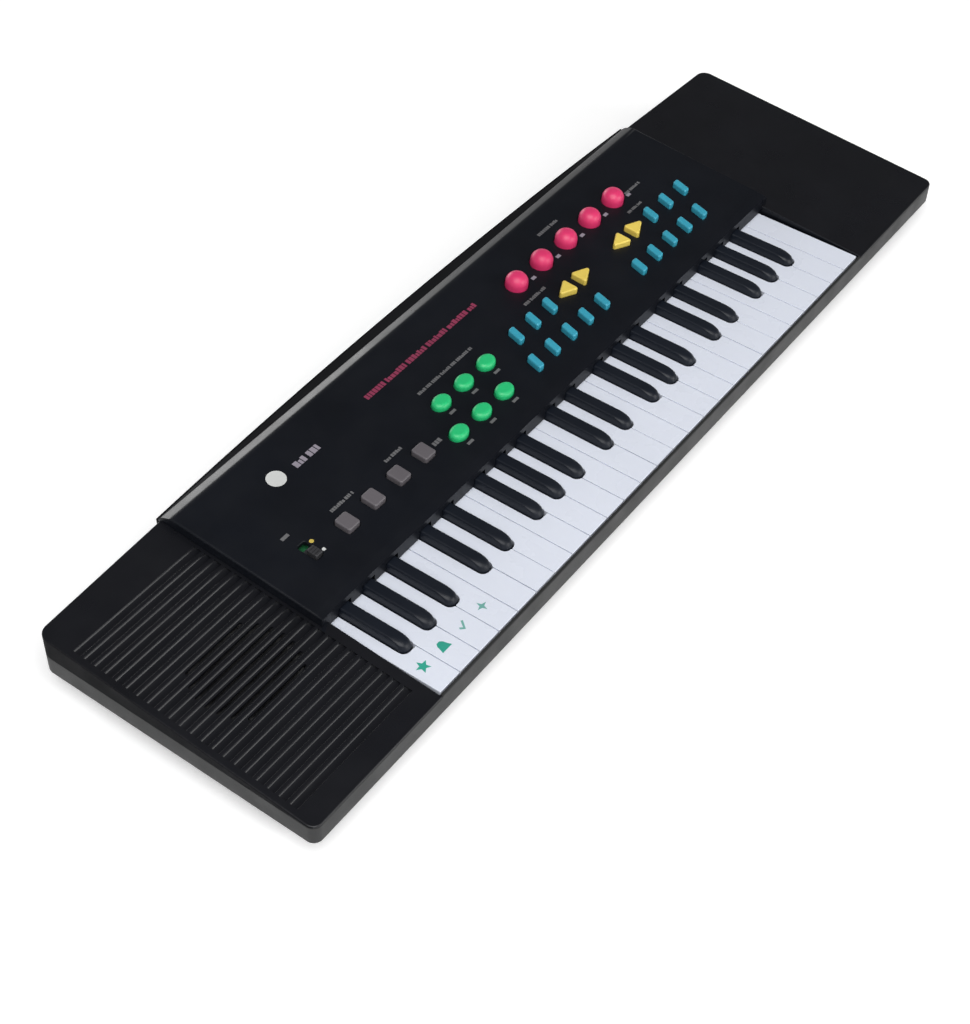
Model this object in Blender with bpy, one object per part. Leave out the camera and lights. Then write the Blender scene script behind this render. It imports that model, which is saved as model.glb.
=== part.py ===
"""Toy electronic keyboard: a flat two-part case with a key bed, a speaker wing, a control panel and 44 keys.

Lengths below are in millimetres and are scaled to metres when a mesh is made.
X runs from the low notes to the high notes, Y from the player to the back, Z up.
The origin is the centre of the footprint, on the table.
"""
import math

import bmesh
import bpy
from mathutils import Vector

MM = 0.001

# Overall case.
CASE_HALF_LENGTH = 266.0
CASE_FRONT_Y = -80.0
PANEL_BACK_Y_CENTRE = 80.0
PANEL_BACK_Y_END = 75.5
WING_BACK_Y_INNER = 73.3
WING_BACK_Y_OUTER = 70.0
FRONT_CORNER_RADIUS = 4.5
BACK_CORNER_RADIUS = 6.0
WALL = 2.2
CLEARANCE = 0.3

# The upper case rests on the level rim of the lower case and has a lip inside it.
BAND_LOW_Z = 12.2
BAND_TOP_Z = 22.7
UPPER_LOW_Z = 23.0
LIP_LOW_Z = 19.5
LIP_TOP_Z = 24.0
LIP_INSET = 2.3
LIP_THICKNESS = 2.0

# Key bed.
PITCH = 14.0
WHITE_COUNT = 26
BED_HALF_LENGTH = 183.0
KEY_FRONT_Y = -77.8
KEY_TOP_Z = 24.0
RAIL_BACK_Y = -78.3
PANEL_FRONT_Y = -19.0
BED_BACK_Y = -18.7
BED_WALL_LOW_Z = 24.6

# Wings rise towards the back, and the control panel stands above them.
WING_SLOPE = 0.0725
TILT = math.atan(WING_SLOPE)
PANEL_HALF_LENGTH = 187.3
PANEL_RISE = 5.0
PANEL_BEVEL_DEPTH = 5.5
PANEL_BEVEL_DROP = 0.9
PANEL_TOP_BACK_Y = 67.8
EDGE_CHAMFER = 0.6

# White keys.
WHITE_WIDTH = 13.5
WHITE_LOW_Z = 16.9
WHITE_BACK_Y = -13.0
KEY_EDGE = 0.5
KEY_POCKET_WALL = 1.5
KEY_POCKET_BACK_Y = -57.5

# Black keys.
BLACK_WIDTH = 7.4
BLACK_TOP_WIDTH = 6.2
BLACK_FRONT_Y = -54.0
BLACK_BACK_Y = -12.0
BLACK_LOW_Z = 16.5
BLACK_TOP_Z = 28.3
BLACK_GAP = 0.45
BLACK_AFTER_WHITE = (1, 2, 3, 5, 6, 8, 9, 10, 12, 13, 15, 16, 17, 19, 20, 22, 23, 24)
BLACK_OFFSETS = (-0.25, -0.08, 0.09, -0.18, 0.02)

# Key hinges.
PIVOT_Y = 20.0
PIVOT_Z = 18.5
TONGUE_HALF_THICKNESS = 1.0
BULB_RADIUS = 1.8
WHITE_TONGUE_WIDTH = 5.0
BLACK_TONGUE_WIDTH = 4.4

# Speaker grille.
RIDGE_COUNT = 20
RIDGE_PITCH = 5.815
FIRST_RIDGE_Y = -63.4
GROOVE_WIDTH = 4.0
GROOVE_DEPTH = 1.1
GROOVE_LEFT_X = -262.5
GROOVE_RIGHT_X = -188.6
SPEAKER_X = -224.0
SPEAKER_Y = -8.5
SPEAKER_RADIUS = 28.5
GRILLE_RADIUS = 25.0

# Lower case.
CHEEK_LOW_Z = 16.6
KEY_SIDE_LOW_Z = 12.4
KEY_SIDE_BACK_Y = -72.0
RAIL_TOP_Z = 23.8
LOWER_SHOULDER_Z = 11.5
LOWER_BASE_Z = 1.5
LOWER_SHOULDER_INSET = 2.6
LOWER_BASE_INSET = 15.0
LOWER_WALL = 2.0
FOOT_RADIUS = 7.0
FOOT_PLACES = ((-212, -56), (212, -56), (-212, 46), (212, 46))
SCREW_PLACES = ((-238, -58), (238, -58), (-238, 44), (238, 44), (-90, 55), (90, 55))

# Battery bay in the right wing, open underneath.
BAY_LOW = (188.5, -40.0)
BAY_HIGH = (247.5, 22.0)
BAY_TOP_Z = 18.5
BAY_WALL = 2.0

# Panel buttons stand on soft webs under the panel.
PANEL_THICKNESS = 2.2
WEB_TOP = -2.5
WEB_LOW = -3.5
BOARD_TOP = -5.3
BOARD_LOW = -6.9
HOLE_GAP = 0.35


def wing_z(y):
    """Height of the wings' top surface."""
    return KEY_TOP_Z + WING_SLOPE * (y - KEY_FRONT_Y)


def pitch_x(count):
    """World X of a point given in white keys from the key bed's left end."""
    return (count - WHITE_COUNT / 2) * PITCH


def panel_v(count):
    """Distance up the panel of a point given in white key widths from the keys' front."""
    return KEY_FRONT_Y + count * PITCH - PANEL_FRONT_Y


def ngon(centre, radius_x, radius_y, sides, turn=0.0):
    points = []
    for i in range(sides):
        angle = turn + 2 * math.pi * i / sides
        points.append((centre[0] + radius_x * math.cos(angle), centre[1] + radius_y * math.sin(angle)))
    return points


def rectangle(low, high):
    return [(low[0], low[1]), (high[0], low[1]), (high[0], high[1]), (low[0], high[1])]


def rounded_rectangle(low, high, radius, steps=2):
    centres = ((high[0] - radius, high[1] - radius), (low[0] + radius, high[1] - radius),
               (low[0] + radius, low[1] + radius), (high[0] - radius, low[1] + radius))
    points = []
    for corner, centre in enumerate(centres):
        for i in range(steps + 1):
            angle = math.pi / 2 * (corner + i / steps)
            points.append((centre[0] + radius * math.cos(angle), centre[1] + radius * math.sin(angle)))
    return points


def at_height(outline, height):
    """Outline as 3-D points. The height is a number, or a function of x and y."""
    if callable(height):
        return [(x, y, height(x, y)) for x, y in outline]
    return [(x, y, height) for x, y in outline]


def ring(*loops):
    """Closed solid through loops of equal length that come back to the first one."""
    count = len(loops[0])
    points = [point for loop in loops for point in loop]
    faces = []
    for level in range(len(loops)):
        first, after = level * count, (level + 1) % len(loops) * count
        for i in range(count):
            j = (i + 1) % count
            faces.append((first + i, first + j, after + j, after + i))
    return points, faces


def loft(*loops):
    """Closed solid through loops of equal length, capped at both ends."""
    count = len(loops[0])
    points = [point for loop in loops for point in loop]
    faces = [tuple(range(count))]
    for level in range(len(loops) - 1):
        first = level * count
        for i in range(count):
            j = (i + 1) % count
            faces.append((first + i, first + j, first + count + j, first + count + i))
    faces.append(tuple(range(len(points) - count, len(points))))
    return points, faces


def prism(outline, low, high):
    return loft(at_height(outline, low), at_height(outline, high))


def box(low, high):
    return prism(rectangle(low[:2], high[:2]), low[2], high[2])


def cylinder(centre, radius, low, high, sides=12):
    return prism(ngon(centre, radius, radius, sides), low, high)


def lathe(profile, sides):
    """Solid of revolution about Z. The profile runs from the axis round to the axis again."""
    points = [(0, 0, profile[0][1])]
    rings = profile[1:-1]
    for radius, height in rings:
        points.extend((x, y, height) for x, y in ngon((0, 0), radius, radius, sides))
    points.append((0, 0, profile[-1][1]))
    last = len(points) - 1
    faces = []
    for i in range(sides):
        j = (i + 1) % sides
        faces.append((0, 1 + j, 1 + i))
        for level in range(len(rings) - 1):
            first = 1 + level * sides
            faces.append((first + i, first + j, first + sides + j, first + sides + i))
        top = 1 + (len(rings) - 1) * sides
        faces.append((top + i, top + j, last))
    return points, faces


def extrude_x(profile, low, high):
    """Solid with the given Y, Z profile from one X to another."""
    return loft([(low, y, z) for y, z in profile], [(high, y, z) for y, z in profile])


def joined(*solids):
    points, faces = [], []
    for solid_points, solid_faces in solids:
        first = len(points)
        points.extend(solid_points)
        faces.extend(tuple(first + i for i in face) for face in solid_faces)
    return points, faces


def moved(solid, offset):
    return [tuple(Vector(point) + Vector(offset)) for point in solid[0]], solid[1]


def material(name, colour, roughness, metallic=0.0):
    made = bpy.data.materials.new(name)
    made.use_nodes = True
    shader = made.node_tree.nodes["Principled BSDF"]
    shader.inputs["Base Color"].default_value = (*colour, 1.0)
    shader.inputs["Roughness"].default_value = roughness
    shader.inputs["Metallic"].default_value = metallic
    made.diffuse_color = (*colour, 1.0)
    return made


def add_object(name, solid, finish=None, parent=None, location=(0, 0, 0)):
    """Mesh object with outward faces. Without a finish it is a helper that other objects use."""
    mesh = bpy.data.meshes.new(name)
    work = bmesh.new()
    corners = [work.verts.new(Vector(point) * MM) for point in solid[0]]
    for face in solid[1]:
        work.faces.new([corners[i] for i in face])
    bmesh.ops.recalc_face_normals(work, faces=work.faces)
    bmesh.ops.triangulate(work, faces=[face for face in work.faces if len(face.verts) > 4])
    work.to_mesh(mesh)
    work.free()
    added = bpy.data.objects.new(name, mesh)
    bpy.context.scene.collection.objects.link(added)
    added.location = Vector(location) * MM
    added.parent = parent
    if finish is None:
        added.hide_render = True
        added.display_type = "WIRE"
    else:
        mesh.materials.append(finish)
    return added


def combine(target, operation, name, solid, parent=None, location=(0, 0, 0)):
    """Adds a solid to the target or cuts it away."""
    helper = add_object(name, solid, None, parent, location)
    modifier = target.modifiers.new(name, "BOOLEAN")
    modifier.operation = operation
    modifier.solver = "EXACT"
    modifier.object = helper
    return helper


def smooth(target, angle=30.0):
    """Rounds the shading of faces that meet at a small angle."""
    for face in target.data.polygons:
        face.use_smooth = True
    work = bmesh.new()
    work.from_mesh(target.data)
    for edge in work.edges:
        edge.smooth = len(edge.link_faces) == 2 and edge.calc_face_angle(0.0) < math.radians(angle)
    work.to_mesh(target.data)
    work.free()


def add_frame(name, location):
    """Empty that leans back with the top of the case."""
    frame = bpy.data.objects.new(name, None)
    bpy.context.scene.collection.objects.link(frame)
    frame.location = Vector(location) * MM
    frame.rotation_euler = (TILT, 0, 0)
    return frame


def panel_back_y(x):
    return PANEL_BACK_Y_CENTRE - (PANEL_BACK_Y_CENTRE - PANEL_BACK_Y_END) * (x / PANEL_HALF_LENGTH) ** 2


def wing_back_y(x):
    along = (abs(x) - PANEL_HALF_LENGTH) / (CASE_HALF_LENGTH - PANEL_HALF_LENGTH)
    return WING_BACK_Y_INNER + (WING_BACK_Y_OUTER - WING_BACK_Y_INNER) * along


def corner(centre_x, centre_y, radius, quarter, steps):
    points = []
    for i in range(steps + 1):
        angle = math.pi / 2 * (quarter + i / steps)
        points.append((centre_x + radius * math.cos(angle), centre_y + radius * math.sin(angle)))
    return points


def case_outline(inset, corner_steps=4, back_steps=10):
    """Plan of the case, anticlockwise from the front left corner, with a step where the panel meets the wings."""
    side = CASE_HALF_LENGTH - inset
    front = CASE_FRONT_Y + inset
    front_radius = max(FRONT_CORNER_RADIUS - inset, 1.5)
    back_radius = max(BACK_CORNER_RADIUS - inset, 1.5)
    back = wing_back_y(side - back_radius) - inset
    points = corner(-side + front_radius, front + front_radius, front_radius, 2, corner_steps)
    points += corner(side - front_radius, front + front_radius, front_radius, 3, corner_steps)
    points += corner(side - back_radius, back - back_radius, back_radius, 0, corner_steps)
    panel_side = PANEL_HALF_LENGTH - inset
    points.append((panel_side, wing_back_y(PANEL_HALF_LENGTH) - inset))
    for i in range(back_steps + 1):
        x = panel_side * (1 - 2 * i / back_steps)
        points.append((x, panel_back_y(x) - inset))
    points.append((-panel_side, wing_back_y(PANEL_HALF_LENGTH) - inset))
    points += corner(-side + back_radius, back - back_radius, back_radius, 1, corner_steps)
    return points


def panel_loop(side_inset, front_y, back_y, rise, steps=10):
    """One level of the raised panel, with its height measured from the wings' surface."""
    side = PANEL_HALF_LENGTH - side_inset
    outline = [(-side, front_y), (side, front_y)]
    for i in range(steps + 1):
        x = side * (1 - 2 * i / steps)
        outline.append((x, back_y(x)))
    front_rise, back_rise = rise
    points = []
    for x, y in outline:
        lift = front_rise if y == front_y else back_rise
        points.append((x, y, wing_z(y) + lift))
    return points


def black_centres():
    """World X of each black key."""
    centres = []
    for i, boundary in enumerate(BLACK_AFTER_WHITE):
        group = (0, 1, 2, 3, 4)[i % 5]
        centres.append(pitch_x(boundary + BLACK_OFFSETS[group]))
    return centres


def white_spans():
    """For each white key, its X limits at the front and between the black keys behind."""
    spans = []
    centres = black_centres()
    margin = BLACK_WIDTH / 2 + BLACK_GAP
    for i in range(WHITE_COUNT):
        middle = pitch_x(i + 0.5)
        left, right = middle - WHITE_WIDTH / 2, middle + WHITE_WIDTH / 2
        inner_left = max([left] + [x + margin for x in centres if x < middle and x + margin > left])
        inner_right = min([right] + [x - margin for x in centres if x > middle and x - margin < right])
        spans.append((left, inner_left, inner_right, right))
    return spans


def tongue(centre_x, width, front_y):
    """Thin lever behind a key, ending in the round bulb it turns on."""
    half = width / 2
    profile = [(front_y, -TONGUE_HALF_THICKNESS)]
    for i in range(9):
        angle = math.radians(-140 + 35 * i)
        profile.append((BULB_RADIUS * math.cos(angle), BULB_RADIUS * math.sin(angle)))
    profile.append((front_y, TONGUE_HALF_THICKNESS))
    return extrude_x(profile, centre_x - half, centre_x + half)


def add_white_key(number, span, finish):
    left, inner_left, inner_right, right = span
    middle = (left + right) / 2
    notch_y = BLACK_FRONT_Y - BLACK_GAP
    outline = [(left, KEY_FRONT_Y), (right, KEY_FRONT_Y)]
    inset = [(left + KEY_EDGE, KEY_FRONT_Y + KEY_EDGE), (right - KEY_EDGE, KEY_FRONT_Y + KEY_EDGE)]
    if inner_right < right:
        outline += [(right, notch_y), (inner_right, notch_y)]
        inset += [(right - KEY_EDGE, notch_y - KEY_EDGE), (inner_right - KEY_EDGE, notch_y - KEY_EDGE)]
    outline += [(inner_right, WHITE_BACK_Y), (inner_left, WHITE_BACK_Y)]
    inset += [(inner_right - KEY_EDGE, WHITE_BACK_Y), (inner_left + KEY_EDGE, WHITE_BACK_Y)]
    if inner_left > left:
        outline += [(inner_left, notch_y), (left, notch_y)]
        inset += [(inner_left + KEY_EDGE, notch_y - KEY_EDGE), (left + KEY_EDGE, notch_y - KEY_EDGE)]
    solid = loft(at_height(outline, WHITE_LOW_Z), at_height(outline, KEY_TOP_Z - KEY_EDGE),
                 at_height(inset, KEY_TOP_Z))
    origin = (middle, PIVOT_Y, PIVOT_Z)
    back = (-middle, -PIVOT_Y, -PIVOT_Z)
    key = add_object(f"white_key_{number:02d}", moved(solid, back), finish, None, origin)
    lever = tongue((inner_left + inner_right) / 2 - middle, WHITE_TONGUE_WIDTH, WHITE_BACK_Y - 3 - PIVOT_Y)
    combine(key, "UNION", f"white_lever_{number:02d}", lever, None, origin)
    pocket = box((left + KEY_POCKET_WALL, KEY_FRONT_Y + KEY_POCKET_WALL, WHITE_LOW_Z - 1),
                 (right - KEY_POCKET_WALL, KEY_POCKET_BACK_Y, KEY_TOP_Z - KEY_POCKET_WALL))
    combine(key, "DIFFERENCE", f"white_pocket_{number:02d}", moved(pocket, back), None, origin)


def black_outline(width, front_y, round_depth):
    half = width / 2
    return [(-half, BLACK_BACK_Y), (-half, front_y + round_depth), (-half * 0.72, front_y + round_depth * 0.3),
            (0, front_y), (half * 0.72, front_y + round_depth * 0.3), (half, front_y + round_depth),
            (half, BLACK_BACK_Y)]


def add_black_key(number, centre, finish):
    low = black_outline(BLACK_WIDTH, BLACK_FRONT_Y, 3.0)
    shoulder = black_outline(BLACK_TOP_WIDTH + 0.6, BLACK_FRONT_Y + 1.2, 3.0)
    top = black_outline(BLACK_TOP_WIDTH, BLACK_FRONT_Y + 5.5, 3.0)
    crown = black_outline(BLACK_TOP_WIDTH - 1.2, BLACK_FRONT_Y + 7.0, 2.4)
    solid = loft(at_height(low, BLACK_LOW_Z), at_height(low, KEY_TOP_Z), at_height(shoulder, KEY_TOP_Z + 2.4),
                 at_height(top, BLACK_TOP_Z - 0.5), at_height(crown, BLACK_TOP_Z))
    origin = (centre, PIVOT_Y, PIVOT_Z)
    key = add_object(f"black_key_{number:02d}", moved(solid, (0, -PIVOT_Y, -PIVOT_Z)), finish, None, origin)
    lever = tongue(0, BLACK_TONGUE_WIDTH, BLACK_BACK_Y - 3 - PIVOT_Y)
    combine(key, "UNION", f"black_lever_{number:02d}", lever, None, origin)


def add_upper_case(finish, panel_frame, cap_outlines):
    chamfer_low = lambda x, y: wing_z(y) - EDGE_CHAMFER
    top = lambda x, y: wing_z(y)
    body = loft(at_height(case_outline(0), UPPER_LOW_Z), at_height(case_outline(0), chamfer_low),
                at_height(case_outline(EDGE_CHAMFER), top))
    case = add_object("upper_case", body, finish)
    straight_back = lambda x: PANEL_TOP_BACK_Y
    arc_back = lambda x: panel_back_y(x) - 1.4
    bevel_back = lambda x: PANEL_TOP_BACK_Y - 1.5
    low_front = PANEL_FRONT_Y
    block = loft(panel_loop(0.0, low_front, arc_back, (-3, -3)), panel_loop(0.0, low_front, arc_back, (0.4, 0.4)),
                 panel_loop(0.4, low_front, straight_back, (PANEL_RISE - PANEL_BEVEL_DROP, PANEL_RISE - 0.5)),
                 panel_loop(1.2, low_front + PANEL_BEVEL_DEPTH, bevel_back, (PANEL_RISE, PANEL_RISE)))
    combine(case, "UNION", "panel_block", block)
    hollow = prism(case_outline(WALL), LIP_LOW_Z - 3, lambda x, y: wing_z(y) - WALL)
    combine(case, "DIFFERENCE", "case_hollow", hollow)
    hollow_back = lambda x: PANEL_TOP_BACK_Y - 2.5
    panel_hollow = loft(panel_loop(WALL + 0.2, PANEL_FRONT_Y + WALL, hollow_back, (-8, -8)),
                        panel_loop(WALL + 0.4, PANEL_FRONT_Y + WALL, hollow_back,
                                   (PANEL_RISE - PANEL_THICKNESS - 1.2, PANEL_RISE - PANEL_THICKNESS - 1.2)),
                        panel_loop(WALL + 1.6, PANEL_FRONT_Y + WALL + 4, lambda x: PANEL_TOP_BACK_Y - 4,
                                   (PANEL_RISE - PANEL_THICKNESS, PANEL_RISE - PANEL_THICKNESS)))
    combine(case, "DIFFERENCE", "panel_hollow", panel_hollow)
    lip_top = lambda x, y: min(LIP_TOP_Z, wing_z(y) - 0.4)
    inner = case_outline(LIP_INSET + LIP_THICKNESS)
    lip = ring(at_height(case_outline(LIP_INSET), LIP_LOW_Z), at_height(case_outline(LIP_INSET), UPPER_LOW_Z + 0.1),
               at_height(case_outline(1.2), UPPER_LOW_Z + 0.1), at_height(case_outline(1.2), lip_top),
               at_height(inner, lip_top), at_height(inner, LIP_LOW_Z))
    combine(case, "UNION", "case_lip", lip)
    bed = box((-BED_HALF_LENGTH, CASE_FRONT_Y - 10, 5), (BED_HALF_LENGTH, BED_BACK_Y, 60))
    combine(case, "DIFFERENCE", "key_bed", bed)

    additions = [box((-BED_HALF_LENGTH + 0.4, BED_BACK_Y + 0.2, BED_WALL_LOW_Z),
                     (BED_HALF_LENGTH - 0.4, BED_BACK_Y + 2.0, BED_WALL_LOW_Z + 3))]
    for side in (-1, 1):
        near, far = sorted((side * (BED_HALF_LENGTH + 0.2), side * (BED_HALF_LENGTH + 2.0)))
        cheek = rectangle((near, KEY_FRONT_Y + 0.2), (far, PANEL_FRONT_Y + 1.5))
        additions.append(prism(cheek, CHEEK_LOW_Z, lambda x, y: wing_z(y) - 0.9))
    for x, y in SCREW_PLACES:
        lift = PANEL_RISE if abs(x) < PANEL_HALF_LENGTH else 0.0
        additions.append(cylinder((x, y), 3.4, 12.8, wing_z(y) + lift - 1.2, 10))
    combine(case, "UNION", "case_ribs", joined(*additions))

    slots = []
    for centre in black_centres():
        half = BLACK_WIDTH / 2 + 0.6
        slots.append(box((centre - half, BED_BACK_Y - 3, BED_WALL_LOW_Z - 4),
                         (centre + half, BED_BACK_Y + 4, BLACK_TOP_Z + 1.1)))
    combine(case, "DIFFERENCE", "black_key_slots", joined(*slots))

    grooves = []
    for i in range(RIDGE_COUNT + 1):
        y = FIRST_RIDGE_Y + (i - 0.5) * RIDGE_PITCH
        outline = rectangle((GROOVE_LEFT_X, y - GROOVE_WIDTH / 2), (GROOVE_RIGHT_X, y + GROOVE_WIDTH / 2))
        grooves.append(prism(outline, lambda x, y: wing_z(y) - GROOVE_DEPTH, lambda x, y: wing_z(y) + 1.5))
    combine(case, "DIFFERENCE", "grille_grooves", joined(*grooves))
    sound_slots = []
    for i in range(RIDGE_COUNT + 1):
        y = FIRST_RIDGE_Y + (i - 0.5) * RIDGE_PITCH
        away = abs(y - SPEAKER_Y)
        if away < GRILLE_RADIUS - 3:
            half = math.sqrt(GRILLE_RADIUS ** 2 - away ** 2)
            outline = rectangle((SPEAKER_X - half, y - 0.8), (SPEAKER_X + half, y + 0.8))
            sound_slots.append(prism(outline, lambda x, y: wing_z(y) - WALL - 1, lambda x, y: wing_z(y) + 1))
    combine(case, "DIFFERENCE", "grille_slots", joined(*sound_slots))

    holes = [prism(outline, -6, 4) for outline in cap_outlines]
    combine(case, "DIFFERENCE", "panel_holes", joined(*holes), panel_frame)
    smooth(case, 25)
    return case


def add_lower_case(finish):
    loops = [at_height(case_outline(LOWER_BASE_INSET + 1.2), LOWER_BASE_Z + LOWER_WALL),
             at_height(case_outline(LOWER_SHOULDER_INSET + LOWER_WALL + 0.2), LOWER_SHOULDER_Z),
             at_height(case_outline(LOWER_WALL), BAND_LOW_Z + 1.3),
             at_height(case_outline(LOWER_WALL), BAND_TOP_Z),
             at_height(case_outline(0), BAND_TOP_Z),
             at_height(case_outline(0), BAND_LOW_Z),
             at_height(case_outline(LOWER_SHOULDER_INSET), LOWER_SHOULDER_Z),
             at_height(case_outline(LOWER_BASE_INSET), LOWER_BASE_Z)]
    case = add_object("lower_case", loft(*loops), finish)
    additions = [cylinder(place, FOOT_RADIUS, 0, LOWER_BASE_Z + 1, 16) for place in FOOT_PLACES]
    additions += [cylinder(place, 4.6, LOWER_BASE_Z + 1, 12.4, 12) for place in SCREW_PLACES]
    for x in (-150, -50, 50, 150):
        additions.append(cylinder((x, -51), 3.0, LOWER_BASE_Z + 1, 7.7, 8))
    additions.append(box((BAY_LOW[0] - BAY_WALL, BAY_LOW[1] - BAY_WALL, LOWER_BASE_Z + 1),
                         (BAY_HIGH[0] + BAY_WALL, BAY_HIGH[1] + BAY_WALL, BAY_TOP_Z + 1.5)))
    rail_end = BED_HALF_LENGTH - CLEARANCE
    additions.append(box((-rail_end, CASE_FRONT_Y, BAND_TOP_Z - 1.5), (rail_end, RAIL_BACK_Y - 0.2, RAIL_TOP_Z)))
    combine(case, "UNION", "base_additions", joined(*additions))
    cuts = [box((*BAY_LOW, -2), (*BAY_HIGH, BAY_TOP_Z))]
    cuts += [cylinder(place, 3.2, -2, 9.0, 12) for place in SCREW_PLACES]
    cuts.append(box((-BED_HALF_LENGTH, RAIL_BACK_Y, KEY_SIDE_LOW_Z), (BED_HALF_LENGTH, KEY_SIDE_BACK_Y, 30)))
    combine(case, "DIFFERENCE", "base_cuts", joined(*cuts))
    smooth(case, 25)


def add_battery_door(finish):
    hinge_y = BAY_LOW[1] + CLEARANCE
    low = (BAY_LOW[0] + CLEARANCE, 0, LOWER_BASE_Z)
    high = (BAY_HIGH[0] - CLEARANCE, BAY_HIGH[1] - CLEARANCE - hinge_y, LOWER_BASE_Z + LOWER_WALL)
    middle = (low[0] + high[0]) / 2
    hinge = (middle, hinge_y, LOWER_BASE_Z)
    door = add_object("battery_door", moved(box(low, high), (-middle, 0, -LOWER_BASE_Z)), finish, None, hinge)
    grips = []
    for i in range(4):
        y = high[1] - 6 - 3 * i
        grips.append(box((-12, y - 0.7, -1), (12, y + 0.7, 0.7)))
    combine(door, "DIFFERENCE", "door_grips", joined(*grips), None, hinge)


def add_speaker(finish):
    frame = add_frame("wing_frame", (SPEAKER_X, SPEAKER_Y, wing_z(SPEAKER_Y)))
    profile = [(0, -9.5), (5, -9.0), (7, -11.5), (SPEAKER_RADIUS - 5, -4.2), (SPEAKER_RADIUS - 3.5, -2.6),
               (SPEAKER_RADIUS, -2.6), (SPEAKER_RADIUS, -4.4), (SPEAKER_RADIUS - 3, -5.4), (15, -12.4),
               (15, -19.5), (0, -19.5)]
    speaker = add_object("speaker", lathe(profile, 24), finish, frame)
    smooth(speaker, 40)


def add_key_rail(finish):
    """Bar with a slot that the bulbs of all keys turn in, on a folded foot."""
    y, z = PIVOT_Y, PIVOT_Z
    profile = [(y - 3.2, z + 1.5), (y - 2.2, z + 2.15), (y + 2.2, z + 2.15), (y + 2.2, z - 2.15),
               (y - 2.2, z - 2.15), (y - 3.2, z - 1.5), (y - 3.2, z - 3.8), (y + 1.8, z - 3.8), (y + 1.8, 3.8),
               (y + 14, 3.8), (y + 14, 5.6), (y + 4, 5.6), (y + 4, z + 4), (y - 3.2, z + 4)]
    add_object("key_rail", extrude_x(profile, -BED_HALF_LENGTH + 1, BED_HALF_LENGTH - 1), finish)


def add_key_contacts(board_finish, rubber_finish, spans):
    add_object("key_contact_board", box((-178, -66, 8.0), (178, -36, 9.6)), board_finish)
    strip = add_object("key_contact_rubber", box((-177, -64, 9.9), (177, -39, 10.7)), rubber_finish)
    domes = []
    places = [((left + right) / 2, -58.5) for left, _, _, right in spans]
    places += [(x, -44.5) for x in black_centres()]
    for place in places:
        domes.append(loft(at_height(ngon(place, 3.6, 3.6, 6), 10.2), at_height(ngon(place, 2.4, 2.4, 6), 11.9)))
    combine(strip, "UNION", "contact_domes", joined(*domes))


def cap(outline_at, height, edge):
    """Button top standing through the panel, with a softened upper edge."""
    return loft(at_height(outline_at(0), WEB_LOW + 0.4), at_height(outline_at(0), height - edge),
                at_height(outline_at(edge * 0.4), height - edge * 0.35), at_height(outline_at(edge), height))


def round_cap(x, v, radius_x, radius_y, sides):
    return lambda inset: ngon((x, v), radius_x - inset, radius_y - inset, sides)


def square_cap(x, v, half_x, half_y, radius, lean=0.0):
    """Rounded rectangle, whose upper end may lean to the right."""
    def outline(inset):
        upright = rounded_rectangle((x - half_x + inset, v - half_y + inset),
                                    (x + half_x - inset, v + half_y - inset), max(radius - inset, 0.3), 1)
        return [(px + lean * (pv - v), pv) for px, pv in upright]
    return outline


def arrow_cap(x, v, half_x, half_y, way):
    """Triangle with blunt corners. The way is 1 for a point to the right and -1 for one to the left."""
    def outline(inset):
        length, side = half_x - inset, half_y - inset * 1.6
        corners = [(-length, -side + 1.2), (-length + 1.2, -side), (length, -1.0), (length, 1.0),
                   (-length + 1.2, side), (-length, side - 1.2)]
        return [(x + way * cx, v + cy) for cx, cy in corners]
    return outline


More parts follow.
